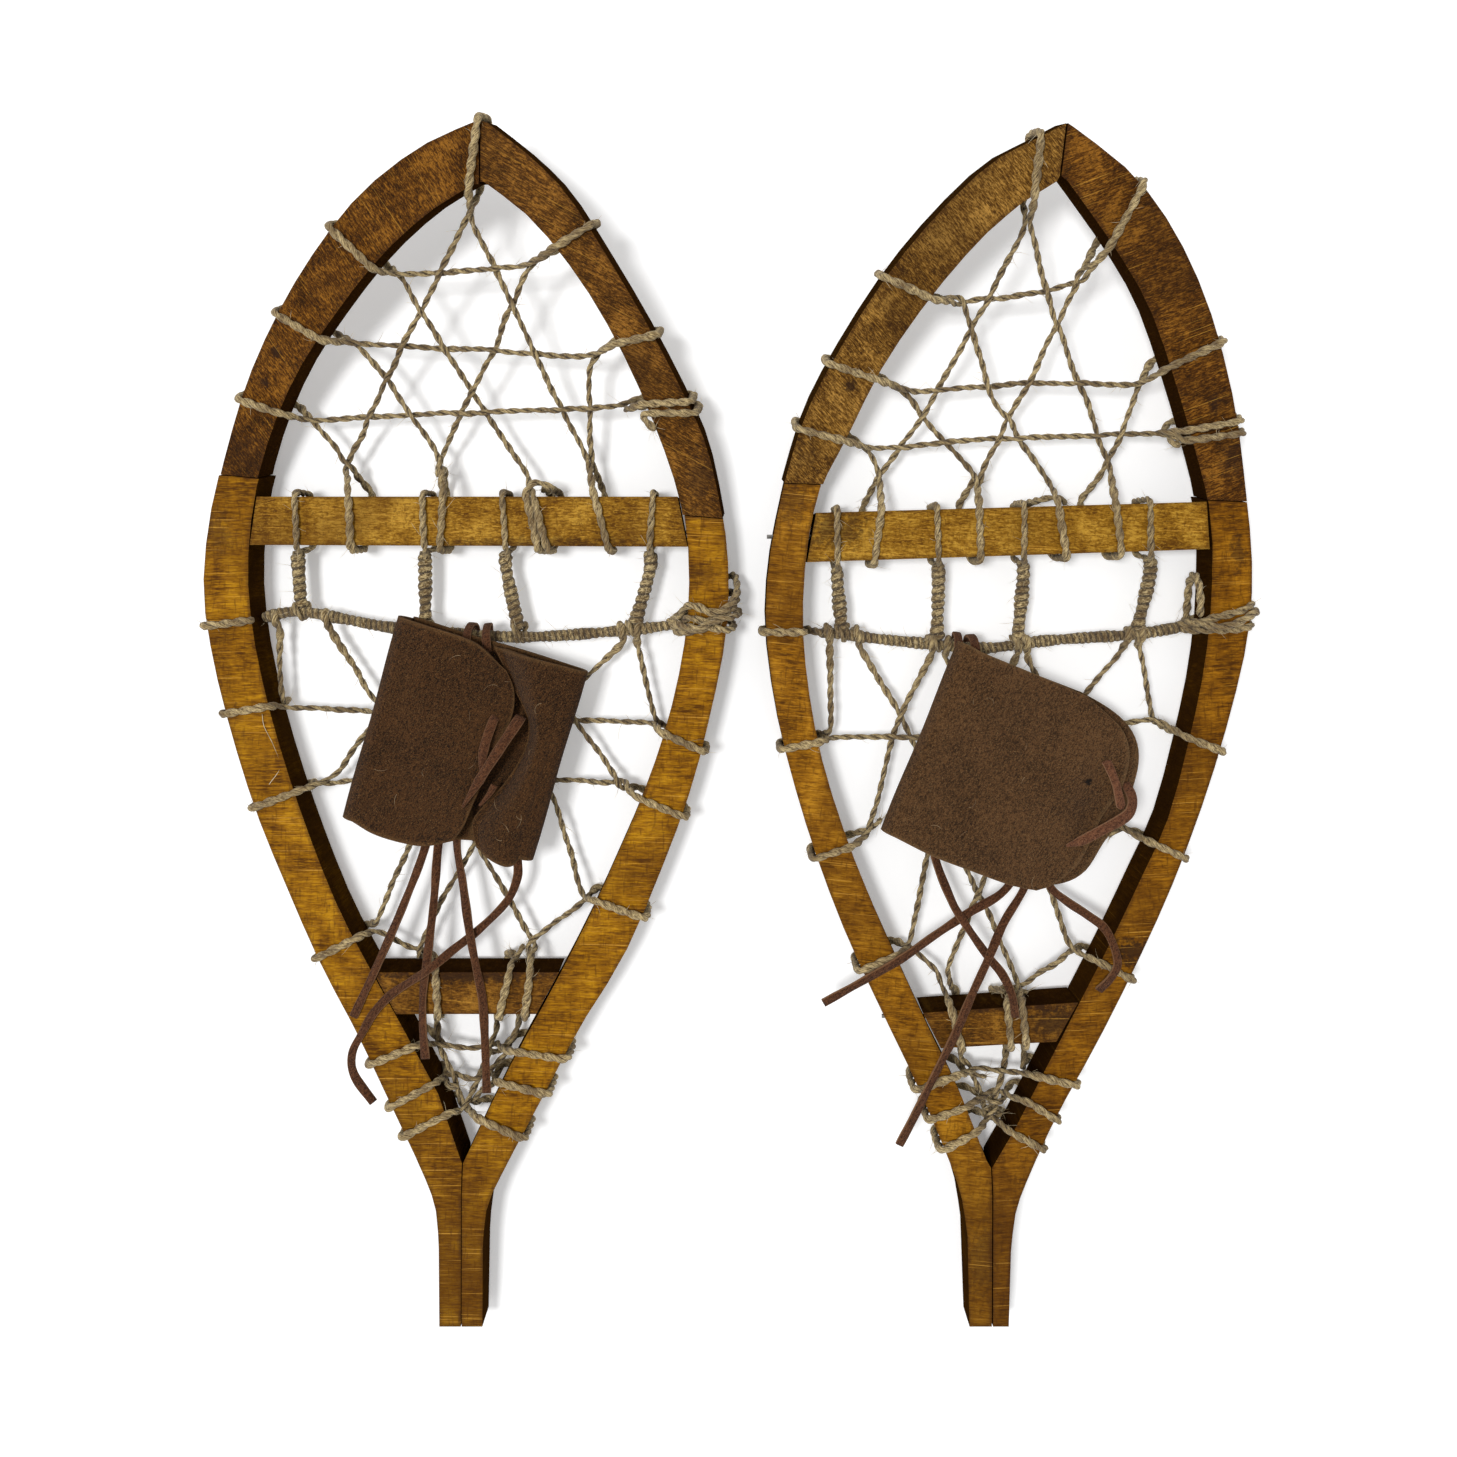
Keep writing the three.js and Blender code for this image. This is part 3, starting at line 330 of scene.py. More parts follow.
def hair_material(name, dark, light):
    shader = Shader(name)
    tint = shader.noise(shader.place((300, 300, 300)), 1.0, 1)
    colour = shader.mix(shader.span(tint, 0.35, 0.65), dark, light)
    return shader.finish(colour, 0.7, tint, 0.00005)


def leather(name, dark, light, speck, grain, spots=()):
    """Napped leather: faint blotches, a fine two-tone nap, pale specks and paler cut edges."""
    shader = Shader(name)
    place = shader.place()
    blotches = shader.noise(place, 0.07, 3, 0.6, 0.6)
    nap = shader.noise(place, grain, 4, 0.85)
    brushed = shader.noise(shader.place((1900, 700, 1900), turn=0.6), 1.0, 3, 0.75)
    fine = shader.noise(place, grain * 2.1, 2, 0.7)
    cut = shader.node("Attribute", output="Fac", attribute_name="cut")
    tone = shader.plus(shader.times(blotches, 0.1),
                       shader.times(nap, 0.55))
    tone = shader.plus(tone, shader.times(brushed, 0.35))
    colour = shader.mix(shader.span(tone, 0.43, 0.57), dark, light)
    colour = shader.mix(shader.span(fine, 0.6, 0.7, 0, 0.85), colour, speck)
    colour = shader.mix(shader.span(fine, 0.3, 0.42, 0.7, 0), colour, dark)
    colour = shader.mix(shader.times(cut, 0.6), colour, speck)
    # Each spot darkens to the hole colour: the painted shade of a hole in the leather.
    for centre, size, amount in spots:
        colour = shader.mix(spot_mask(shader, centre, size, amount), colour, HOLE_SHADE)
    height = shader.plus(nap, shader.times(fine, 0.8))
    return shader.finish(colour, 0.95, height, 0.0005, Specular_IOR_Level=0.08,
                         Sheen_Weight=0.04, Sheen_Roughness=0.5)


def wood_material(name, tones, grain, up, spots=()):
    """Stained wood: fine marks along one direction, blotches, dark edges, and side walls darkened by
    painted shade and some heavier stain.

    tones are the dark, middle and light stain. grain is the turn of the marks in radians,
    their length and spacing in millimetres, and their strength. up faces the wood's top."""
    dark, middle, light = tones
    turn, length, spacing, strength = grain
    shader = Shader(name)
    place = shader.place()
    along = 1000 / length
    across = 1000 / spacing
    marks = shader.noise(shader.place((along, across, along), turn=turn), 1.0, 3, 0.72, 0.3)
    fine = shader.noise(shader.place((along * 2.6, across * 2.1, along), turn=turn), 1.0, 2, 0.6)
    streaks = shader.noise(shader.place((150, 22, 80), turn=turn), 1.0, 3, 0.6, 0.4)
    blotches = shader.noise(place, 0.06, 4, 0.62, 0.8)
    patches = shader.noise(place, 0.022, 2, 0.5, 0.4)
    tone = shader.plus(shader.times(marks, strength),
                       shader.times(blotches, 0.5))
    tone = shader.plus(tone, shader.times(streaks, 0.22))
    centre = (strength + 0.72) / 2
    colour = shader.mix(shader.span(tone, centre - 0.15, centre), dark, middle)
    colour = shader.mix(shader.span(tone, centre - 0.02, centre + 0.13), colour, light)
    colour = shader.mix(shader.span(fine, 0.55, 0.66, 0, strength), colour, dark)
    colour = shader.mix(shader.span(fine, 0.45, 0.34, 0, strength * 0.8), colour, light)
    colour = shader.mix(shader.span(patches, 0.5, 0.68, 0, 0.4), colour, dark)
    lengthways = shader.node("SeparateXYZ", {0: shader.position()}, output="Y")
    colour = shader.mix(shader.span(lengthways, TAIL_START, TAIL_END, 0, 0.62), colour, dark)
    for centre_point, size, amount in spots:
        colour = shader.mix(spot_mask(shader, centre_point, size, amount), colour, STAIN)
    scratches = shader.noise(shader.place((28, 2300, 28), turn=turn), 1.0, 1, 0.5)
    colour = shader.mix(shader.span(scratches, 0.68, 0.74, 0, 0.65 * spacing), colour, SCRATCH)
    crossing = shader.noise(shader.place((across * 0.8, along * 1.6, along), turn=turn), 1.0, 2, 0.6)
    colour = shader.mix(shader.span(crossing, 0.54, 0.7, 0, 0.5), colour, dark)
    normal = shader.node("NewGeometry", output="Normal")
    level = shader.node("Math", {0: shader.vector("DOT_PRODUCT", normal, up)},
                        operation="ABSOLUTE")
    rim = shader.times(shader.span(level, 0.3, 0.5), shader.span(level, 0.99, 0.9))
    rim = shader.times(rim, shader.span(blotches, 0.3, 0.6, 0.5, 0.95))
    soft_edge = shader.node("Bevel", {"Radius": 0.0026}, samples=4)
    turned = shader.vector("DOT_PRODUCT", soft_edge, up)
    near = shader.times(shader.span(turned, 0.995, 0.86),
                       shader.span(blotches, 0.35, 0.6, 0.25, 1))
    colour = shader.mix(shader.times(near, 0.85), colour, WORN_EDGE)
    # Side walls, turned away from up, take the wall tone: painted shade, with some heavier stain.
    colour = shader.mix(shader.span(level, 0.6, 0.25, 0, WALL_SHADE), colour, WALL_STAIN_AND_SHADE)
    colour = shader.mix(rim, colour, RIM)
    height = shader.plus(marks, shader.times(fine, 0.7))
    rough = shader.span(blotches, 0.3, 0.7, 0.6, 0.45)
    gloss = shader.span(level, 0.3, 0.8, 0, 0.08)
    return shader.finish(colour, rough, height, 0.0003, Specular_IOR_Level=gloss)


def spot_mask(shader, centre, size, strength):
    """A ragged mark about one point, in millimetres: 0 beside it, up to strength on it."""
    away = shader.vector("SUBTRACT", shader.position(), tuple(world(centre)), "Vector")
    scaled = shader.vector("MULTIPLY", away, tuple(1000 / s for s in size), "Vector")
    distance = shader.vector("LENGTH", scaled)
    ragged = shader.noise(shader.place(), 0.5, 3, 0.7)
    edge = shader.plus(distance, shader.span(ragged, 0.25, 0.75, -0.55, 0.55))
    return shader.span(edge, 1.15, 0.35, 0, strength)


TWINE = twine_material()
HAIR = hair_material("twine_hair", srgb(160, 138, 100), srgb(222, 206, 172))
NAP_FIBRE = hair_material("nap_fibre", srgb(104, 78, 50), srgb(168, 140, 104))
DARK_SUEDE = leather("suede_dark", srgb(30, 17, 6), srgb(86, 55, 28), srgb(160, 122, 76), 2.1)
# Its one spot is a hole, drawn as painted shade.
PALE_SUEDE = leather("suede_pale", srgb(42, 25, 10), srgb(106, 74, 44), srgb(170, 136, 92), 2.1,
                     [((117.9, -16.3, 26), (1.7, 1.2, 6), 0.95)])
LACE = leather("lace", srgb(54, 30, 17), srgb(108, 68, 43), srgb(160, 118, 82), 2.1)
# A paler copy of the lace, for the right pocket's fastening.
PALE_LACE = leather("worn_lace", srgb(68, 39, 25), srgb(130, 84, 58), srgb(180, 136, 100), 2.1)

# ---------------------------------------------------------------- lace tails
LACE_WIDTH = 2.8
LACE_THICKNESS = 1.2
LACE_RING = [(corner + 0.5) * 2 * math.pi / 10 for corner in range(10)]
TAILS = {
    "left": [
        [(-89.5, 24.5, 15), (-93.5, 5, 15.1), (-98.5, -20, 15.2), (-101.5, -39, 15.4),
         (-108.6, -59, 17), (-116.3, -77.5, 19.3), (-120.5, -86.5, 19.3), (-124.8, -95.8, 19.3)],
        [(-85.4, 24.5, 15), (-89.2, 5, 15.1), (-94.5, -20, 15.2), (-97.4, -38.8, 15.4),
         (-98.6, -58, 16.8), (-100.2, -76, 19.3), (-101.6, -88, 19.3), (-101.3, -98, 21),
         (-100.4, -109, 21.2)],
        [(-81.3, 24.5, 15), (-84.6, 5, 15.1), (-88.9, -20, 15.2), (-91.2, -37.8, 15.4),
         (-88.8, -52, 17.2), (-86.2, -67.2, 19.4), (-84, -79, 19.5), (-81.8, -90.5, 19.4),
         (-80.9, -105, 19.8), (-80.2, -120.5, 20.6)],
        [(-77.2, 24.5, 15), (-75, 0, 15.2), (-72, -25, 15.2), (-70.8, -44.5, 15.4),
         (-71, -51, 16), (-74.5, -58.5, 16.5), (-83.8, -67.8, 16.6), (-91.5, -73.5, 18.8),
         (-98.5, -78.6, 23.1), (-106, -84, 20.4), (-112.5, -88.6, 19.4), (-118, -94.5, 19.3),
         (-121.8, -101, 19.3), (-125.2, -108, 19.3), (-125, -116, 17.5), (-119.4, -126, 15)],
    ],
    "right": [
        [(80, 20.5, 15), (88, 0, 15.1), (96, -25, 15.2), (97.6, -44, 15.3), (92.5, -54.8, 15.7),
         (80, -62, 17.2), (68, -69, 19.6), (57, -75.5, 22.7), (44, -83, 22.6),
         (31.4, -90.3, 21.8)],
        [(84.2, 20.5, 15), (92.2, 0, 15.1), (100.5, -25, 15.2), (101.8, -44, 15.3),
         (99.2, -54, 15.6), (92, -65, 17.5), (86.2, -76, 20.8), (80.5, -88, 21.4),
         (75, -100, 22.7), (70.5, -109, 22.7), (66, -118, 22.7), (61.5, -127.5, 22.2),
         (56.6, -137.6, 21)],
        [(75.8, 20.5, 15), (72, 0, 15.1), (68.5, -25, 15.2), (69, -42, 15.3), (74.2, -57, 18),
         (78.4, -64.4, 19.7), (86.2, -75.6, 18.4), (91, -81.5, 20), (93.6, -87.5, 22.5),
         (94.8, -94.8, 22.5)],
        [(88.4, 20.5, 15), (98, 0, 15.1), (105.5, -25, 15.2), (107, -44, 15.3),
         (107.8, -53, 15.4), (113, -58, 15.8), (120, -62.5, 17.6), (125.6, -67, 20),
         (128.4, -76, 22.8), (126.5, -81.5, 22.5), (122.8, -86.6, 20.5)],
    ],
}


def ribbon(points, roll=0.0, width=LACE_WIDTH, step=1.0, level=True, taper=0.0):
    """Vertices and faces of a flat lace, whose faces roll a little to each side on the way.

    Its last stretch narrows to a quarter of its width over the length of taper, in millimetres."""
    path, places = resample(smooth_curve(points), step)
    if level:
        tangents = np.gradient(path, axis=0)
        across = unit(np.cross((0, 0, 1.0), tangents))
        normal = unit(np.cross(tangents, across))
    else:
        across, normal = frames(path)
    start = rng.uniform(0, 6.28)
    rolls = roll * np.sin(places / 17 + start)
    widths = width * (1 + 0.07 * np.sin(places / 5.3 + start) + 0.04 * np.sin(places / 1.9))
    if taper:
        widths = widths * np.clip(0.25 + 0.75 * (places[-1] - places) / taper, 0.25, 1)
    vertices = []
    for point, side, up, turn, wide in zip(path, across, normal, rolls, widths):
        for angle in LACE_RING:
            a = math.copysign(abs(math.cos(angle)) ** 0.35, math.cos(angle)) * wide / 2
            b = math.copysign(abs(math.sin(angle)) ** 0.55, math.sin(angle)) * LACE_THICKNESS / 2
            vertices.append(point + side * (a * math.cos(turn) - b * math.sin(turn))
                            + up * (a * math.sin(turn) + b * math.cos(turn)))
    return vertices, ring_faces(len(path), len(LACE_RING)), path


def add_lace(name, parts, suede, body, node):
    """One piece of lace from some ribbons, in place of a CAD node, with paler cut edges."""
    vertices, faces = joined(parts)
    ring = [1.0 if abs(math.cos(angle)) > 0.9 else 0.0 for angle in LACE_RING]
    lace = add_piece(name, vertices, faces, suede, body, "lace",
                     attributes={"cut": ring * (len(vertices) // len(ring))})
    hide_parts(node)
    return lace


for side, tails in TAILS.items():
    for number, points in enumerate(tails, 1):
        *part, path = ribbon(points, roll=0.35)
        tail = add_lace(f"{side}_tail_lace_{number}", [part], LACE, f"{side}_snowshoe",
                        f"{side}_lace_tail_{number}")

# ---------------------------------------------------------------- frame sections
HALF_DEPTH = 9
RAY_RUN_UP = 7
RAY_LENGTH = 22


class Section:
    """A flat piece of a frame. Plan points reach it along a line from the eye."""

    def __init__(self, bend, tilt, wood):
        a, b = (Vector((x, y, RAIL_TOP)) for x, y in bend)
        self.bend = (a, b)
        self.matrix = (Matrix.Translation(a) @ Matrix.Rotation(tilt, 4, b - a)
                       @ Matrix.Translation(-a))
        self.inverse = self.matrix.inverted()
        self.wood = skin_of([bpy.data.objects[name] for name in wood], self.inverse)

    def local(self, x, y, z):
        start = self.inverse @ EYE
        end = self.inverse @ Vector((x, y, RAIL_TOP))
        return start.lerp(end, (z - start.z) / (end.z - start.z))

    def place(self, x, y, z):
        return self.matrix @ self.local(x, y, z)

    def beyond_bend(self, x, y):
        (ax, ay, _), (bx, by, _) = self.bend
        return (bx - ax) * (y - ay) - (by - ay) * (x - ax) > 0

    def edge(self, inner, outer):
        """Where twine from outside meets the wood's side: the path just clear of it, and the
        height of the wood's top face there."""
        a = self.local(*inner, RAIL_TOP)
        b = self.local(*outer, RAIL_TOP)
        along = (b - a).normalized()
        middle = RAIL_TOP - HALF_DEPTH
        start = Vector((a.x, a.y, middle)) - along * RAY_RUN_UP
        spot, normal, _, _ = self.wood.ray_cast(start, along, RAY_LENGTH)
        if spot is None:
            raise ValueError(f"no wood between {inner} and {outer}")
        above = spot + along * 2
        top = below(self.wood, above.x, above.y)
        room = HUG / max(0.5, abs(along.dot(normal)))
        clear = spot - along * room
        return clear.x, clear.y, top.z

    def turn(self, way, inner, outer, back=None):
        """Twine around the member between two plan points, over it or under it first."""
        near = self.edge(inner, outer)
        far = self.edge(outer, inner)
        last = self.edge(back or inner, outer)
        heights = (RAIL_BOTTOM - HUG, max(near[2], far[2]) + HUG)
        first, second = heights if way == "under" else heights[::-1]
        corners = [(near, first), (far, first), (far, second), (last, second)]
        return [self.matrix @ Vector((spot[0], spot[1], z)) for spot, z in corners]


SIDES = {"left": ((-163.5, 84), (-8.5, 70.5)), "right": ((25, 81.5), (166.5, 75.8))}
SECTIONS = {}
for side, bend in SIDES.items():
    foot_wood = [f"{side}_{part}" for part in ("foot_rail_a", "foot_rail_b", "toe_bar", "heel_bar")]
    toe_wood = [f"{side}_toe_rail_a", f"{side}_toe_rail_b"]
    SECTIONS[side] = (Section(bend, 0, foot_wood), Section(bend, TOE_TILT, toe_wood))

# ---------------------------------------------------------------- twine routes
# A strand is a list of plan points, (x, y) or (x, y, z), and of turns: (way, inner, outer) goes
# around a rail or bar, with an optional fourth item where it comes back; ("ring", x, y) goes
# around the toe cord.
TIP_L = ((-86.3, 180.8), (-83.6, 202.3))
TIP_R = ((101.8, 178), (103.8, 196.8))
NETS = {
    "left_toe_net": [
        [(-24.5, 99.5, 21.5), (-29, 104, 19), ("over", (-28, 105.2), (-14, 105.4)),
         (-35.5, 106), ("over", (-28, 108.4), (-14, 109)), (-38, 107), (-84, 105.4),
         (-121, 103.8), (-139.4, 102.4), ("over", (-148.5, 105), (-162.6, 109.8)),
         (-138.6, 101.9), (-131, 94.3), (-127.6, 88.4),
         ("under", (-123, 78), (-125.4, 61), (-126.4, 77.8)), (-127.2, 88), (-113.8, 116),
         (-87.2, 170), ("under", *TIP_L), (-85.6, 169), (-71.8, 141), (-56.5, 107.5),
         (-46.8, 90.5), ("over", (-44.6, 77.3), (-40.2, 61), (-42.6, 77.3)), (-46, 89.4),
         (-46.4, 106), (-46.6, 122.4), ("under", (-38, 128.3), (-25.5, 131)), (-47, 123.6),
         (-78, 125.8), (-124, 128.3), ("over", (-138, 131), (-151, 138.6)), (-124.4, 128.8),
         (-113.5, 116), (-96.4, 91), ("over", (-94.9, 77.3), (-96, 61), (-97.4, 77.3)),
         (-95.4, 87)],
        [(-96.6, 84), (-95.8, 91.5), (-79, 125), (-66.6, 154.4),
         ("under", (-57.5, 160.6), (-46.5, 167.5)), (-67.4, 154), (-96, 152), (-109.6, 151),
         ("over", (-119.6, 154.5), (-132.6, 167)), (-110, 151.6), (-80.5, 104), (-66.4, 84),
         ("over", (-65.4, 77.3), (-60.6, 61), (-58, 77.3)), (-59.4, 80.4, 15), (-63.5, 82.4, 14),
         ("over", (-66.8, 77.3), (-63.6, 61), (-61, 77.3)), (-62, 80, 8)],
    ],
    "left_foot_net": [
        [("ring", -151.4, 36.4), (-149.8, 22), (-148.6, 8.4),
         ("under", (-154.2, 7.4), (-167.4, 5)), (-147.8, 7.2), (-119, 5.8), (-50.8, 2.4),
         (-24.8, 2.2), ("over", (-21.6, -1.6), (-10.3, -6.6)), (-24.6, 2.8), (-29.8, 26),
         ("ring", -30.8, 32.8)],
        [("ring", -36.4, 32.4), (-46.5, 18), (-106.5, -38.2), (-117.7, -65.8),
         ("under", (-125, -70), (-136.4, -76)), (-117, -67), (-104, -74.6), (-98.6, -77),
         ("over", (-97.4, -81.3), (-96.6, -95.2), (-101.6, -81.3)), (-103.8, -75.4),
         (-96.5, -58.8), (-84.4, -38.2), (-80, -30)],
        [("ring", -134.8, 36.6), (-117.5, 8.8), (-84.2, -38.2), (-71.8, -58.8), (-65.8, -70.8),
         ("over", (-66, -81.3), (-67.8, -95.2), (-68.4, -81.3)), (-66.4, -73), (-65.2, -70.4),
         (-47.8, -57), ("under", (-43.5, -57.4), (-30, -62.2)), (-48.2, -56.4), (-58, -24),
         (-61, -16.4), (-62, -12)],
        [(-104, 5.2), (-110, 4.8), (-120.5, -0.5), (-131.4, -16.6),
         ("over", (-145.2, -21.4), (-157.6, -26)), (-138.4, -18.4), (-125, -17.2),
         (-56.5, -17.4), (-35.6, -18), ("over", (-29, -23.4), (-17, -28.4)), (-35.8, -18.8),
         (-51, 3), (-54, 7)],
        [(-66.8, -72.6), (-71.5, -76),
         ("over", (-73, -81.3), (-76.2, -95.2), (-76.6, -81.3)), (-71, -75)],
    ],
    "left_tail_net": [
        [(-97, -91, 1.8), (-97.1, -96.4, 3.4), (-97, -100, 9), (-96.6, -104.4), (-88, -125.6),
         ("over", (-81.4, -130.4), (-70.6, -135.2)), (-87.2, -126), (-79.8, -116.6),
         ("under", (-75.6, -117.6), (-62.6, -121)), (-79.2, -116), (-84, -116.8),
         (-94.6, -116.2), ("over", (-100, -119), (-111.4, -125.2)), (-94.4, -117.4),
         (-90, -118.6)],
        [(-77, -91, 1.8), (-77, -96.4, 3.4), (-77.2, -100, 9), (-78.4, -104.4), (-87, -126.4),
         ("over", (-94.6, -128.6), (-107, -135)), (-88.4, -126.4), (-85, -127.6)],
        [(-69.6, -91, 1.8), (-69.8, -96, 3.4), (-70, -99.6, 9), (-73.6, -106), (-79.2, -114.6),
         (-80.6, -118.6)],
        [(-94.4, -106.4, 9), ("under", (-106.6, -106.4), (-118.4, -111.2)), (-97.8, -104.4),
         (-88, -106.6), (-77.4, -106.6), ("over", (-69.4, -107.4), (-56, -109.6)),
         (-77.2, -107.2), (-81, -106)],
    ],
    "right_toe_net": [
        [(150.5, 94.5, 17), (147, 96.6, 14), ("under", (153.2, 96.2), (169.6, 98.4)),
         (144, 97.8), ("under", (153.2, 99.6), (169.6, 102.6)), (141.2, 98.3), (132.5, 98.2),
         (85.8, 96.4), (47.2, 93.1), ("over", (39.4, 96), (25, 99.6)), (47.2, 92.6),
         (50.2, 84.6), ("over", (50.6, 71.2), (48.8, 57), (46.4, 71.2)), (49.6, 83.2),
         (64.5, 103.4), (81, 133), (99.6, 168.4), ("under", *TIP_R), (99.8, 167.6),
         (109.5, 133.4), (118, 112), (126.6, 88), ("over", (128.8, 74.6), (130.6, 59.2),
         (121.8, 74.4)), (126.2, 87), (136.6, 113.4), ("under", (147.2, 121), (161.6, 127.6)),
         (136.8, 114.4), (98, 115.2), (60.8, 112), ("over", (49.5, 116.5), (35.6, 121)),
         (60.2, 111.2), (64.5, 104), (82.4, 84.4),
         ("over", (83.4, 72.6), (83.8, 58), (79.8, 72.4)), (82.8, 84)],
        [(83.6, 81), (83.4, 84.6), (99.8, 115), (116.2, 148.4),
         ("under", (127.6, 162), (136.8, 179)), (116.6, 149), (104.5, 145.4), (78, 142.2),
         ("over", (67.2, 143.5), (54, 149.6)), (77.4, 142.8), (81, 133), (87.2, 111),
         (107.2, 81.4), ("over", (109.8, 74), (112.2, 58.8), (103.4, 73.4)),
         (104.8, 76.6, 15), (109.6, 77.4, 14), (112.4, 75, 9)],
    ],
    "right_foot_net": [
        [("ring", 32.4, 31.8), (34.2, -1.6), ("under", (29, -4.6), (18, -6.8)), (34.6, -2.9),
         (59.8, -2.8), (133.5, 1.8), (141.4, 3.6), ("over", (152, -2.6), (163, -7)),
         (141.2, 2.8), (137.2, 27.4), ("ring", 136.8, 31.4)],
        [("ring", 42, 31.2), (57.2, 4.8), (62.2, -5.8), (78.5, -45.5), (85.8, -59.5),
         (97, -86), ("over", (97.5, -91), (99, -105), (94, -92)), (98, -87), (113.6, -74),
         ("under", (123.4, -77.6), (132.6, -82.6)), (113.8, -73.4), (106.8, -52.5), (72.8, 23),
         ("ring", 72.2, 27.6)],
        [("ring", 66.6, 28.2), (57.2, 4.8), (54.2, -4.8), (50.5, -19.8), (47, -34.2),
         ("over", (39.6, -39.6), (29.4, -43)), (47.8, -33.4), (51, -30)],
        [("ring", 95, 27.8), (66.8, -40.8), (60.2, -72), ("over", (55.6, -75.6), (44.4, -80.2)),
         (60.6, -73.2), (71.5, -82), (72, -87), ("over", (73.2, -90), (77, -104), (79, -91)),
         (73.4, -86), (71.5, -81.6), (85.8, -49.2), (118.8, 11.8), (131.4, 27),
         ("ring", 132.2, 31)],
        [("ring", 98.2, 28.4), (101, 20), (130.2, -32.8), ("over", (140.4, -37.6), (150.8, -42.6)),
         (129.4, -33), (127, -36)],
        [(99.4, -87.4, 9), (93.4, -89, 12), ("over", (92.5, -92), (94, -105.6), (90.4, -92)),
         (92, -88)],
    ],
    "right_tail_net": [
        [(77.4, -102, 1.8), (77.6, -107.6, 3.4), (77.6, -110.8, 9), (80.8, -114.6), (87.8, -129),
         ("over", (95, -134.6), (104, -139.6)), (88.6, -128.4), (85.6, -126.4)],
        [(92.4, -102, 1.8), (92.4, -106.6, 3.4), (92.4, -109.8, 9), (91.6, -115), (86.8, -128.8),
         ("over", (84.4, -133), (72.8, -139.2)), (87.6, -129.4), (91, -127.6)],
        [(98.6, -102, 1.8), (98.6, -106, 3.4), (98.6, -109.4, 9), (97.6, -115),
         ("under", (104.4, -115.8), (115, -118.4)), (95, -114), (86.5, -113.5), (82, -113.7),
         ("over", (75.6, -115.4), (63.8, -119.6)), (82.2, -114.6), (86, -116)],
        [(88.6, -124, 9), ("under", (79.4, -125.6), (68, -129.6)), (84.8, -122.2),
         (91, -121.8), ("over", (98.6, -123.4), (108.4, -129.6)), (90.4, -122.8),
         (87, -124)],
    ],
}
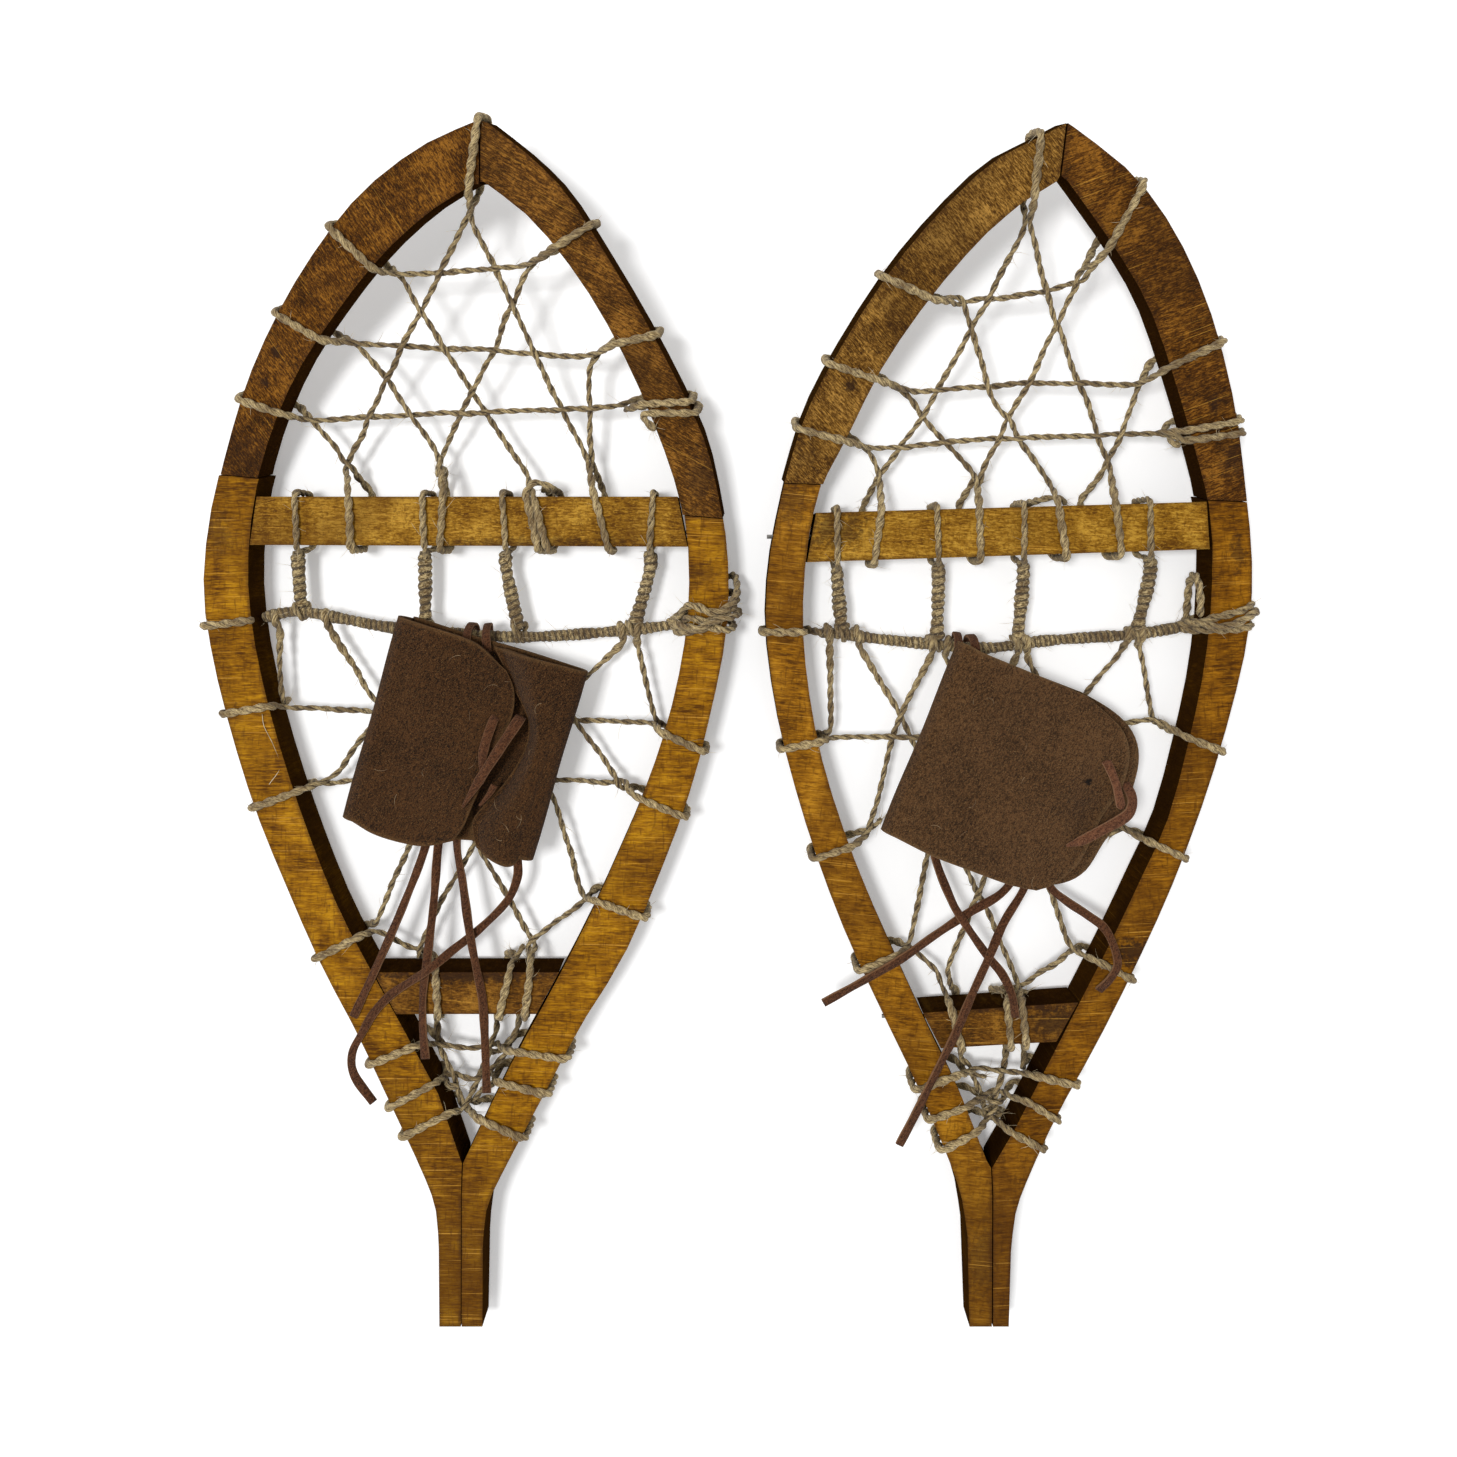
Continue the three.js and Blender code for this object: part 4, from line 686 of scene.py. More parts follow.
CORDS = {
    "left_toe_cord": {
        "run": [(-155, 37), (-143.5, 39), (-127.5, 36.4), (-111, 33.5), (-78.2, 30.8),
                (-59.5, 30.8), (-31.8, 33), (-17, 34.8)],
        "ends": [[("over", (-159.6, 36), (-174.4, 34.2)), (-154.5, 37.2, 11), (-148, 38.4, 11)]],
        "uprights": [
            [(-143.5, 59.8), (-142.4, 39.4), (-144.2, 77.3), (-143.6, 61)],
            [(-101.3, 59.8), (-101, 33.2), (-101.8, 77.3), (-101.2, 61)],
            [(-74.2, 59.8), (-69.8, 32.6), (-75.2, 77.3), (-74.2, 61)],
            [(-26.4, 59.8), (-31.6, 33.5), (-25.2, 77.3), (-26.2, 61)],
        ],
        "knot": [
            [(-20, 34.6, 11), (-16.6, 36.8, 15.4), (-14.6, 40.6, 19.4), (-11, 41, 21.4),
             (-5, 38.6, 22.6), (0, 40.6, 21.4), (2.9, 45.4, 16), (2.6, 49.6, 10.5),
             (1.2, 50.8, 5), (-3, 49, 2), (-9, 44, 1.9), (-15.6, 38, 4.4), (-19, 35, 9)],
            [(-19, 33.4, 11), (-16, 34.6, 17), (-13.6, 37, 20.4), (-8, 36, 21), (-2.6, 36.4, 21),
             (1.2, 40, 19), (2.6, 43.6, 13), (2.2, 45.4, 7), (-2, 43.6, 1.9), (-12, 37, 1.9),
             (-16.6, 34.8, 6)],
            [(-18.6, 32.6, 10), (-15.6, 32.4, 17), (-12.4, 32.6, 20.2), (-6, 34, 20.3),
             (-1, 32.8, 20), (1.4, 33.4, 15), (1.2, 34.6, 7), (-3, 36, 2), (-12, 34.6, 1.9),
             (-16.4, 33.6, 6)],
            [(-16.6, 35.6, 16.6), (-15.4, 34.4, 19.6), (-10, 33.6, 22.8), (-4, 36.6, 23.2),
             (1.6, 37.6, 20.4), (3.4, 38.4, 13), (2.2, 38.8, 6)],
        ],
    },
    "right_toe_cord": {
        "run": [(30, 32), (38.8, 31.4), (50.5, 29.8), (69.2, 28), (85.8, 26.8), (103.2, 29),
                (120.8, 30.4), (135.8, 31.4), (155, 34.6)],
        "ends": [[("over", (25.8, 32.2), (13, 32.2)), (30.6, 32, 11), (36, 31.6, 11)]],
        "uprights": [
            [(36.2, 54.6), (37.8, 32.2), (36.2, 71.6), (36.2, 56)],
            [(69.8, 56), (69.4, 29), (69.4, 72.8), (69.8, 57.4)],
            [(98, 56.6), (96.2, 28.6), (98.4, 73.4), (98.2, 58)],
            [(140.2, 58.2), (135.8, 31.4), (140.2, 75), (140.4, 59.6)],
        ],
        "knot": [
            [(152.6, 34.2, 11), (156.6, 35, 16), (160, 36.6, 20.2), (165.6, 38, 20.6),
             (171.4, 39.8, 20.8), (175, 41.4, 17), (175.8, 41.4, 9), (173.6, 39.6, 2.2),
             (166, 36.6, 1.9), (159, 35.4, 2), (155.8, 34.8, 7)],
            [(153.6, 33, 11), (158, 33, 17.6), (161.6, 33, 20.2), (167.4, 33.2, 20.4),
             (172.6, 33.8, 20.2), (175.2, 34.6, 15), (174.6, 35, 6), (171.6, 34.8, 2),
             (162, 34, 1.9), (157, 33.4, 5)],
            [(153.8, 35.2, 14.6), (157.4, 35.4, 19.4), (162, 34.2, 22.6), (167.6, 35.4, 23.2),
             (173, 38, 22.2), (176, 39, 18), (176.2, 37.8, 11), (174.4, 37.4, 5)],
            [(157.6, 36.2, 17), (157.4, 42, 18.4), (157.2, 48, 17.4), (157.4, 51, 13),
             (157.6, 48.4, 7.4), (157.4, 42, 6), (156, 36, 9)],
        ],
    },
}

# ---------------------------------------------------------------- laying the strands
STEP = 1.0
CORNER_RADIUS = 2.6
CROSSING_RISE = 1.35
CROSSING_REACH = 4.2
PUSH = 0.3
PUSH_GAIN = 1.3
SMOOTHING = 0.12
HELD_SHARE = 0.93
CORD_RING_REACH = 3.1
CORD_RADIUS = 1.95
UPRIGHT_RADIUS = 2.3
FREE_SIZE = 0.74


def rounded(points, held):
    """A polyline whose corners are short curves, sampled evenly, with how firmly it is held."""
    points = [np.array(point, dtype=float) for point in points]
    path = [np.append(points[0], held[0])]
    for a, b, c, grip in zip(points, points[1:], points[2:], held[1:]):
        before, after = a - b, c - b
        cut = min(CORNER_RADIUS, 0.48 * np.linalg.norm(before), 0.48 * np.linalg.norm(after))
        start = b + before / np.linalg.norm(before) * cut
        end = b + after / np.linalg.norm(after) * cut
        for t in (0, 0.25, 0.5, 0.75, 1):
            spot = (1 - t) ** 2 * start + 2 * t * (1 - t) * b + t ** 2 * end
            path.append(np.append(spot, grip))
    path.append(np.append(points[-1], held[-1]))
    return resample(np.array(path), STEP)[0]


def lay(side, strand):
    """The corner points of a strand in space, and which of them are held by wood."""
    foot, toe = SECTIONS[side]
    points, held = [], []
    for item in strand:
        if item[0] in ("over", "under"):
            way, inner, outer, *back = item
            middle = [(i + o) / 2 for i, o in zip(inner, outer)]
            section = toe if toe.beyond_bend(*middle) else foot
            points += section.turn(way, inner, outer, *back)
            held += [1.0] * 4
        elif item[0] == "ring":
            _, x, y = item
            centre = foot.place(x, y, CORD_HEIGHT)
            around = [(-1.2, -0.6), (0, 1), (0.9, 0.2), (0.3, -1)]
            order = around if len(points) == 0 else around[::-1]
            points += [centre + Vector((0.5 * i, dy * CORD_RING_REACH, dz * CORD_RING_REACH))
                       for i, (dy, dz) in enumerate(order[::-1])]
            held += [1.0] * 4
        else:
            x, y, *z = item
            section = toe if toe.beyond_bend(x, y) else foot
            points.append(section.place(x, y, z[0] if z else NET_HEIGHT))
            held.append(0.6 if z else 0.0)
    return rounded(points, held)


def crossings(paths):
    """Pairs of places, (strand, point), where free strands cross in plan."""
    flat = [(i, j) for i, path in enumerate(paths) for j in range(len(path) - 1)
            if path[j, 3] < 0.5]
    starts = np.array([paths[i][j, :2] for i, j in flat])
    steps = np.array([paths[i][j + 1, :2] for i, j in flat]) - starts
    found = []
    for row, (i, j) in enumerate(flat):
        gap = starts - starts[row]
        slant = steps[row, 0] * steps[:, 1] - steps[row, 1] * steps[:, 0]
        slant[np.abs(slant) < 1e-9] = 1e-9
        t = (gap[:, 0] * steps[:, 1] - gap[:, 1] * steps[:, 0]) / slant
        u = (gap[:, 0] * steps[row, 1] - gap[:, 1] * steps[row, 0]) / slant
        hits = np.nonzero((t >= 0) & (t < 1) & (u >= 0) & (u < 1))[0]
        for hit in hits:
            if hit > row and (flat[hit][0] != i or flat[hit][1] - j > 6):
                found.append(((i, j), flat[hit]))
    return found


def weave(paths):
    """Lift and lower strands at their crossings, over and under in turn."""
    pairs = crossings(paths)
    level = {}
    for strand in range(len(paths)):
        own = sorted((place, pair) for pair in pairs for place in pair if place[0] == strand)
        way = 1
        for place, pair in own:
            if place not in level:
                level[place] = -way
                other = pair[1] if pair[0] == place else pair[0]
                level[other] = way
            way = level[place]
    for (strand, point), way in level.items():
        path = paths[strand]
        distance = (np.arange(len(path)) - point) * STEP
        path[:, 2] += way * CROSSING_RISE * np.exp(-(distance / CROSSING_REACH) ** 2) * (1 - path[:, 3])


def settle(paths, rounds=26, spacing=2.5):
    """Push strands apart where they are closer than their thickness."""
    index = [(i, j) for i, path in enumerate(paths) for j in range(len(path))]
    for _ in range(rounds):
        tree = tree_of([paths[i][j, :3] for i, j in index])
        pushes = [np.zeros((len(path), 3)) for path in paths]
        for i, j in index:
            spot = paths[i][j, :3]
            for co, row, distance in tree.find_range(spot, spacing):
                k, m = index[row]
                if (k == i and abs(m - j) < 6) or distance < 1e-6:
                    continue
                pushes[i][j] += (spot - np.array(co)) / distance * (spacing - distance) * PUSH
        for path, push in zip(paths, pushes):
            for _ in range(2):
                push[1:-1] = 0.25 * push[:-2] + 0.5 * push[1:-1] + 0.25 * push[2:]
            pull = np.zeros_like(push)
            pull[1:-1] = 0.5 * (path[:-2, :3] + path[2:, :3]) - path[1:-1, :3]
            path[:, :3] += ((push * PUSH_GAIN + SMOOTHING * pull)
                            * (1 - HELD_SHARE * path[:, 3:]))


# Twine held by wood is drawn paler by this share.
HELD_TINT = 0.4
TUFT_HAIRS = 12
HAIR_WIDTH = 0.085
WISP_WIDTH = 0.14
NAP_WIDTH = 0.08


class Twine:
    """Collects two-ply twine and loose fibres into one mesh."""

    AROUND = 12
    PLY_OFFSET = 0.62
    PLY_RADIUS = 0.78
    RING_STEP = 0.62
    TWIST_LENGTH = 9.6
    WOBBLE = 0.05
    WHIPPING_AROUND = 22

    def __init__(self):
        self.vertices = []
        self.faces = []
        self.ply = []
        self.lobe = []
        self.hairs = []
        self.hair_faces = []

    def add(self, points, size=1.05, hairs=0.12):
        """Two-ply twine along a path, whose fourth column tells how firmly it is held."""
        path, places = resample(smooth_curve(points, 3), self.RING_STEP)
        if path.shape[1] > 3:
            grip = np.clip(path[:, 3], 0, 1)
            size = size * (FREE_SIZE + (1 - FREE_SIZE) * grip)
            path = path[:, :3]
        else:
            grip = np.full(len(path), 0.5)
        size = np.broadcast_to(size, len(path))
        shift = rng.uniform(0, 50)
        wobble = np.stack([np.sin(places / 3.1 + shift), np.cos(places / 4.3 + shift * 2),
                           np.sin(places / 3.7 + shift * 3)], axis=1)
        path = path + wobble * self.WOBBLE
        across, over = frames(path)
        around = self.AROUND
        angles = np.arange(around) * 2 * math.pi / around
        c, a = self.PLY_OFFSET, self.PLY_RADIUS
        folded = c * np.abs(np.cos(angles))
        radii = 0.62 * (folded + np.sqrt(a * a - (c * np.sin(angles)) ** 2)) + 0.38 * 1.3
        lobes = (radii - radii.min()) / (radii.max() - radii.min())
        thick = size * (1 + 0.07 * np.sin(places / 6.1 + shift) + 0.05 * np.sin(places / 2.3))
        ends = np.minimum(1, 0.55 + 0.45 * np.minimum(places, places[-1] - places) / 1.2)
        twist = 2 * math.pi * places / self.TWIST_LENGTH + shift
        turned = angles[None, :] + twist[:, None]
        reach = radii[None, :] * (thick * ends)[:, None]
        rows = np.repeat(places[:, None], around, axis=1) + shift * 9
        ply = [np.broadcast_to(np.cos(angles) * radii, rows.shape),
               np.broadcast_to(np.sin(angles) * radii, rows.shape), rows]
        # lobe is lowest in the grooves, which the twine material paints dark as shade.
        lobe = lobes[None, :] + HELD_TINT * grip[:, None]
        self.add_rings(path, across, over, turned, reach, ply, lobe)
        for i in range(len(path) - 1):
            if rng.random() < hairs:
                angle = rng.uniform(0, 2 * math.pi)
                out = across[i] * math.cos(angle) + over[i] * math.sin(angle)
                self.hair(path[i] + out * 1.15 * size[i], out, path[i + 1] - path[i])
        return path

    def add_whipping(self, points, radius, pitch, groove):
        """A stem under tight turns of twine, one ridge to each turn."""
        path, places = resample(smooth_curve(points), 0.42)
        across, over = frames(path)
        angles = np.arange(self.WHIPPING_AROUND) * 2 * math.pi / self.WHIPPING_AROUND
        start = rng.uniform(0, 20)
        drift = 0.35 * np.sin(places / 5.1 + start) + 0.2 * np.sin(places / 2.2 + start * 2)
        phase = (places[:, None] + drift[:, None]) / pitch - angles[None, :] / (2 * math.pi) + start
        across_ridge = 2 * (phase - np.floor(phase)) - 1
        ridge = np.sqrt(1 - (0.94 * across_ridge) ** 2)
        arc = (2 * math.pi * np.floor(phase) + angles[None, :]) * radius
        knobbly = 0.09 * np.sin(arc / 1.1 + 2.4 * across_ridge)
        lumps = radius * (1 + 0.07 * np.sin(places / 3.3 + start) + 0.05 * np.sin(places / 1.7))
        ends = np.minimum(1, 0.7 + 0.3 * np.minimum(places, places[-1] - places) / 1.5)
        reach = (lumps * ends)[:, None] - groove * (1 - ridge) + knobbly
        # Low lobe between turns is painted dark as shade by the twine material.
        lobe = np.clip(1.15 * ridge - 0.5, 0, 1)
        self.add_rings(path, across, over, angles[None, :], reach, [across_ridge, ridge, arc], lobe)
        for i in range(0, len(path) - 1, 3):
            angle = rng.uniform(0, 2 * math.pi)
            out = across[i] * math.cos(angle) + over[i] * math.sin(angle)
            self.hair(path[i] + out * radius * 0.9, out, path[i + 1] - path[i])

    def add_rings(self, path, across, over, angles, reach, ply, lobe):
        """A tube along a path, from each ring's angles and their reach from the path."""
        first = sum(len(block) for block in self.vertices)
        block = (path[:, None, :] + across[:, None, :] * (np.cos(angles) * reach)[..., None]
                 + over[:, None, :] * (np.sin(angles) * reach)[..., None])
        self.vertices.append(block.reshape(-1, 3))
        self.faces += ring_faces(len(path), block.shape[1], first)
        self.ply.append(np.stack(ply, axis=2).reshape(-1, 3))
        self.lobe.append(lobe.reshape(-1))

    def hair(self, root, out, along, length=None):
        """One loose fibre: a thin tapering three-sided tube."""
        length = length or rng.uniform(1.4, 4.6)
        along = along / np.linalg.norm(along) * rng.choice((-1, 1))
        lean = rng.uniform(0.3, 1.5)
        curl = np.array([rng.uniform(-1, 1) for _ in range(3)])
        direction = out + along * lean
        direction /= np.linalg.norm(direction)
        spine = [root + direction * length * t + curl * length * 0.35 * t * t
                 for t in (0, 0.35, 0.7, 1)]
        self.add_fibre(spine, [HAIR_WIDTH * (1 - 0.7 * i / 3) for i in range(4)])

    def wisp(self, points):
        """One long loose fibre through the given points."""
        spine = smooth_curve(points, 4)
        self.add_fibre(spine, [WISP_WIDTH] * len(spine))

    def add_fibre(self, spine, widths):
        self.hair_faces += ring_faces(len(spine), 3, len(self.hairs))
        self.hairs += fibre(spine, widths)

    def tuft(self, path):
        """The frayed end of a strand."""
        end, along = path[-1], path[-1] - path[-3]
        for _ in range(TUFT_HAIRS):
            out = np.array([rng.uniform(-1, 1) for _ in range(3)])
            self.hair(end - along * 0.4 + out * 0.5, out * 0.8, along, rng.uniform(2.5, 6.5))

    def build(self, name, node, body):
        strands = np.vstack(self.vertices)
        strands[:, 2] = np.maximum(strands[:, 2], LOWEST_TWINE)
        count = len(strands)
        faces = self.faces + [tuple(count + i for i in face) for face in self.hair_faces]
        hairs = np.array(self.hairs)
        hairs[:, 2] = np.maximum(hairs[:, 2], LOWEST_TWINE)
        vertices = np.vstack([strands, hairs])
        zeros = np.zeros((len(self.hairs), 3))
        attributes = {"ply": np.vstack(self.ply + [zeros]),
                      "lobe": np.concatenate(self.lobe + [np.ones(len(self.hairs))])}
        piece = add_piece(name, vertices, faces, TWINE, body, "twine", attributes=attributes)
        piece.data.materials.append(HAIR)
        marks = [0] * len(self.faces) + [1] * len(self.hair_faces)
        piece.data.polygons.foreach_set("material_index", marks)
        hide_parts(node)


WISPS = {"left_foot_net": [[(-155.2, 5, 19.2), (-154.6, 0.7, 19), (-151.6, -5.7, 18.6),
                            (-149.6, -12.9, 18.4), (-153, -18.6, 18.9)]]}
for node, strands in NETS.items():
    side = node.split("_")[0]
    paths = [lay(side, strand) for strand in strands]
    weave(paths)
    settle(paths)
    net = Twine()
    for path in paths:
        laid = net.add(path)
        net.tuft(laid)
        net.tuft(laid[::-1])
    for wisp in WISPS.get(node, []):
        net.wisp(wisp)
    net.build(f"{node}_twine", node, f"{side}_snowshoe")

for node, plan in CORDS.items():
    side = node.split("_")[0]
    foot = SECTIONS[side][0]
    cord = Twine()
    run = [foot.place(x, y, CORD_HEIGHT) for x, y in plan["run"]]
    cord.add_whipping(run, CORD_RADIUS, 1.9, groove=0.45)
    for strand in plan["ends"]:
        cord.add(lay(side, strand)[:, :3])
    for top, end, bar_top, bar_bottom in plan["uprights"]:
        loop = [(top[0] + 0.6, top[1] - 6, 11.4), (top[0] + 0.6, top[1] - 1, 13),
                ("over", bar_bottom, bar_top), (top[0] - 0.6, top[1] - 1, 8.6),
                (top[0] - 0.6, top[1] - 6, 10.6)]
        cord.add(lay(side, loop)[:, :3], size=0.86)
        stem = [foot.place(x, y, CORD_HEIGHT) for x, y in
                ((top[0], top[1] - 0.6), (top[0] + 0.2, top[1] - 7), end)]
        cord.add_whipping(stem, UPRIGHT_RADIUS, 2.6, groove=0.8)
        ring = foot.place(*end, CORD_HEIGHT)
        cord.add([ring + Vector((x, y, z)) for x, y, z in
                  ((-2.4, 2.4, 0), (-1, 0.4, 3), (0.4, -2.4, 1.6), (0.8, -2.6, -1.6),
                   (1.6, 0.6, -3), (2, 2.8, 0.4))], size=0.8)
    knot = [resample(smooth_curve(strand), STEP)[0] for strand in plan["knot"]]
    knot = [np.hstack([path, np.full((len(path), 1), 0.25)]) for path in knot]
    settle(knot, rounds=10, spacing=2.4)
    for path in knot:
        cord.add(path[:, :3], size=1.04, hairs=0.2)
    cord.build(f"{node}_twine", node, f"{side}_snowshoe")

# ---------------------------------------------------------------- pockets
SUEDE_THICKNESS = 1.6
BACK_HEIGHT = 17.8
FLAP_HEIGHT = 25.1
BEND_RADIUS = (FLAP_HEIGHT - BACK_HEIGHT) / 2
CREASE_INSET = BEND_RADIUS + SUEDE_THICKNESS / 2
ROWS = 44
BEND_ROWS = 8
FLAP_ROWS = 36
BACK_ROWS = 26
FIBRES_PER_FLAP = 8
CUT_REACH = 0.95
CUT_FADE = 0.45


def side_curve(points, count):
    return resample(smooth_curve(points), count=count)[0]


def patch(crease, low, far, high, depth):
    """A grid of plan points between four sides. It runs from the crease to the far edge."""
    near = side_curve(crease, ROWS)
    far = side_curve(far, ROWS)
    low = side_curve([near[0]] + low + [far[0]], depth)
    high = side_curve([near[-1]] + high + [far[-1]], depth)
    u = np.linspace(0, 1, ROWS)[None, :, None]
    v = np.linspace(0, 1, depth)[:, None, None]
    blend_near = (1 - v) * near[None] + v * far[None]
    blend_low = (1 - u) * low[:, None] + u * high[:, None]
    corners = ((1 - u) * (1 - v) * near[0] + u * (1 - v) * near[-1]
               + (1 - u) * v * far[0] + u * v * far[-1])
    return blend_near + blend_low - corners


def folded_sheet(name, crease, flap, back, shape, bodies, suede):
    """A flap, its U-bend along the crease and its back layer, as one sheet of suede.

    It gives the sheet, its area in square metres and its crease's length in millimetres."""
    start, end = (np.array(point, dtype=float) for point in crease)
    along = (end - start) / np.linalg.norm(end - start)
    inward = np.array((along[1], -along[0]))
    if np.dot(np.mean(flap["far"], axis=0) - start, inward) < 0:
        inward = -inward
    fold = [start + inward * CREASE_INSET, end + inward * CREASE_INSET]
    flap_grid = patch(fold, flap["low"], flap["far"], flap["high"], FLAP_ROWS)
    back_grid = patch(fold, back["low"], back["far"], back["high"], BACK_ROWS)
    v = np.linspace(0, 1, FLAP_ROWS)[:, None]
    u = np.linspace(0, 1, ROWS)[None, :]
    flap_z = FLAP_HEIGHT + shape(flap_grid[..., 0], flap_grid[..., 1], u, v) * np.minimum(1, v * 5)
    ripple = 0.25 * np.sin(back_grid[..., 0] / 9) * np.sin(back_grid[..., 1] / 11)
    back_v = np.linspace(0, 1, BACK_ROWS)[:, None]
    back_z = BACK_HEIGHT + ripple * np.minimum(1, back_v * 4)
    bend = []
    line = side_curve(fold, ROWS)
    swell = 1 + 0.05 * np.sin(np.linspace(0, 9, ROWS))
    for i in range(1, BEND_ROWS):
        angle = math.pi / 2 - math.pi * i / BEND_ROWS
        plan = line - inward[None] * (BEND_RADIUS * math.cos(angle) * swell)[:, None]
        z = (FLAP_HEIGHT + BACK_HEIGHT) / 2 + BEND_RADIUS * math.sin(angle)
        bend.append(np.hstack([plan, np.full((ROWS, 1), z)])[None])
    flap_points = np.dstack([flap_grid, flap_z])[::-1]
    back_points = np.dstack([back_grid, back_z])
    grid = np.vstack([flap_points] + bend + [back_points])
    faces = [(i * ROWS + j, i * ROWS + j + 1, (i + 1) * ROWS + j + 1, (i + 1) * ROWS + j)
             for i in range(len(grid) - 1) for j in range(ROWS - 1)]
    sheet = add_piece(name, grid.reshape(-1, 3), faces, suede, None, "suede")
    thicken(sheet, SUEDE_THICKNESS)
    mark_cut_edges(sheet, np.vstack([grid[0], grid[-1], grid[:, 0], grid[:, -1]]))
    lay_fibres(sheet, flap_points[3:-4, 3:-3].reshape(-1, 3), outer_body=bodies[0])
    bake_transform(sheet)
    return sheet, grid_area(grid), np.linalg.norm(end - start)


def mark_cut_edges(sheet, border):
    """Mark a sheet's cut edges, where paler leather shows."""
    tree = tree_of(border)
    away = [tree.find(vertex.co / MM - SHIFT)[2] for vertex in sheet.data.vertices]
    layer = sheet.data.attributes.new("cut", "FLOAT", "POINT")
    shares = np.clip((CUT_REACH - np.array(away)) / CUT_FADE, 0, 1)
    layer.data.foreach_set("value", shares.astype(np.float32))


def lay_fibres(sheet, spots, outer_body):
    """Loose pale fibres lying on a flap."""
    skin = skin_of([sheet])
    parts = []
    for _ in range(FIBRES_PER_FLAP):
        x, y, _ = spots[rng.randrange(len(spots))]
        heading, curl = rng.uniform(0, 2 * math.pi), rng.uniform(-0.3, 0.3)
        stride = rng.uniform(0.25, 0.75)
        spine = []
        for _ in range(9):
            spot = below(skin, x, y)
            if spot is None or spot.z < FLAP_HEIGHT - 2:
                break
            spine.append((x, y, spot.z + 0.12))
            x += stride * math.cos(heading)
            y += stride * math.sin(heading)
            heading += curl
        if len(spine) < 4:
            continue
        widths = [NAP_WIDTH * (1 - 0.5 * i / len(spine)) for i in range(len(spine))]
        parts.append((fibre(np.array(spine), widths), ring_faces(len(spine), 3)))
    add_piece(f"{sheet.name}_fibres", *joined(parts), NAP_FIBRE, outer_body, "suede")


def grid_area(grid):
    """The area of a grid of points in millimetres, in square metres."""
    across = np.diff(grid, axis=0)[:, :-1]
    along = np.diff(grid, axis=1)[:-1]
    return float(np.linalg.norm(np.cross(across, along), axis=2).sum()) * MM * MM


def thicken(piece, thickness):
    """Give a sheet its real thickness, with softly rounded cut edges."""
    solid = piece.modifiers.new("thickness", "SOLIDIFY")
    solid.thickness = thickness * MM
    solid.offset = 0
    soften(piece, "edges", 0.35, 2, 50)
    graph = bpy.context.evaluated_depsgraph_get()
    mesh = bpy.data.meshes.new_from_object(piece.evaluated_get(graph))
    piece.modifiers.clear()
    piece.data = mesh
    mesh.polygons.foreach_set("use_smooth", [True] * len(mesh.polygons))


def gentle(x, y, u, v):
    """Flap A of the left pocket: nearly flat, with a lifted top edge and soft waves."""
    waves = 0.35 * np.sin(x / 8.5 + y / 15) + 0.3 * np.sin(y / 9.5 - x / 22)
    lifted = 0.9 * np.exp(-((1 - u) / 0.12) ** 2) * np.exp(-(v / 0.5) ** 2)
    settled = -0.8 * np.clip((v - 0.75) / 0.25, 0, 1) ** 2
    return waves + lifted + settled


def rolled(x, y, u, v):
    """Flap B of the left pocket: a soft roll whose free edge turns down into the hollow."""
    roll = 2.3 * np.sin(math.pi * np.clip(v * 1.15, 0, 1)) * (0.75 + 0.25 * np.sin(5 * u + 0.6))
    edge = -3.4 * np.clip((v - 0.5) / 0.4, 0, 1) ** 1.5 * np.clip(u * 2.2 - 0.15, 0, 1)
    waves = 0.4 * np.sin(x / 7 - y / 8)
    return roll + edge + waves


def dipped(x, y, u, v):
    """The right pocket's flap: pulled down under its lace and around a hole."""
    waves = 0.45 * np.sin(x / 12 + y / 10) + 0.3 * np.sin(y / 8 - x / 13)
    dip = -3.2 * np.exp(-(((x - 120) / 6.5) ** 2 + ((y + 27) / 8.5) ** 2))
    hole = -1.1 * np.exp(-(((x - 122) / 6) ** 2 + ((y + 14) / 6) ** 2))
    curl = 1.0 * np.exp(-((1 - u) / 0.1) ** 2) * np.exp(-(v / 0.25) ** 2)
    return waves + dip + hole + curl


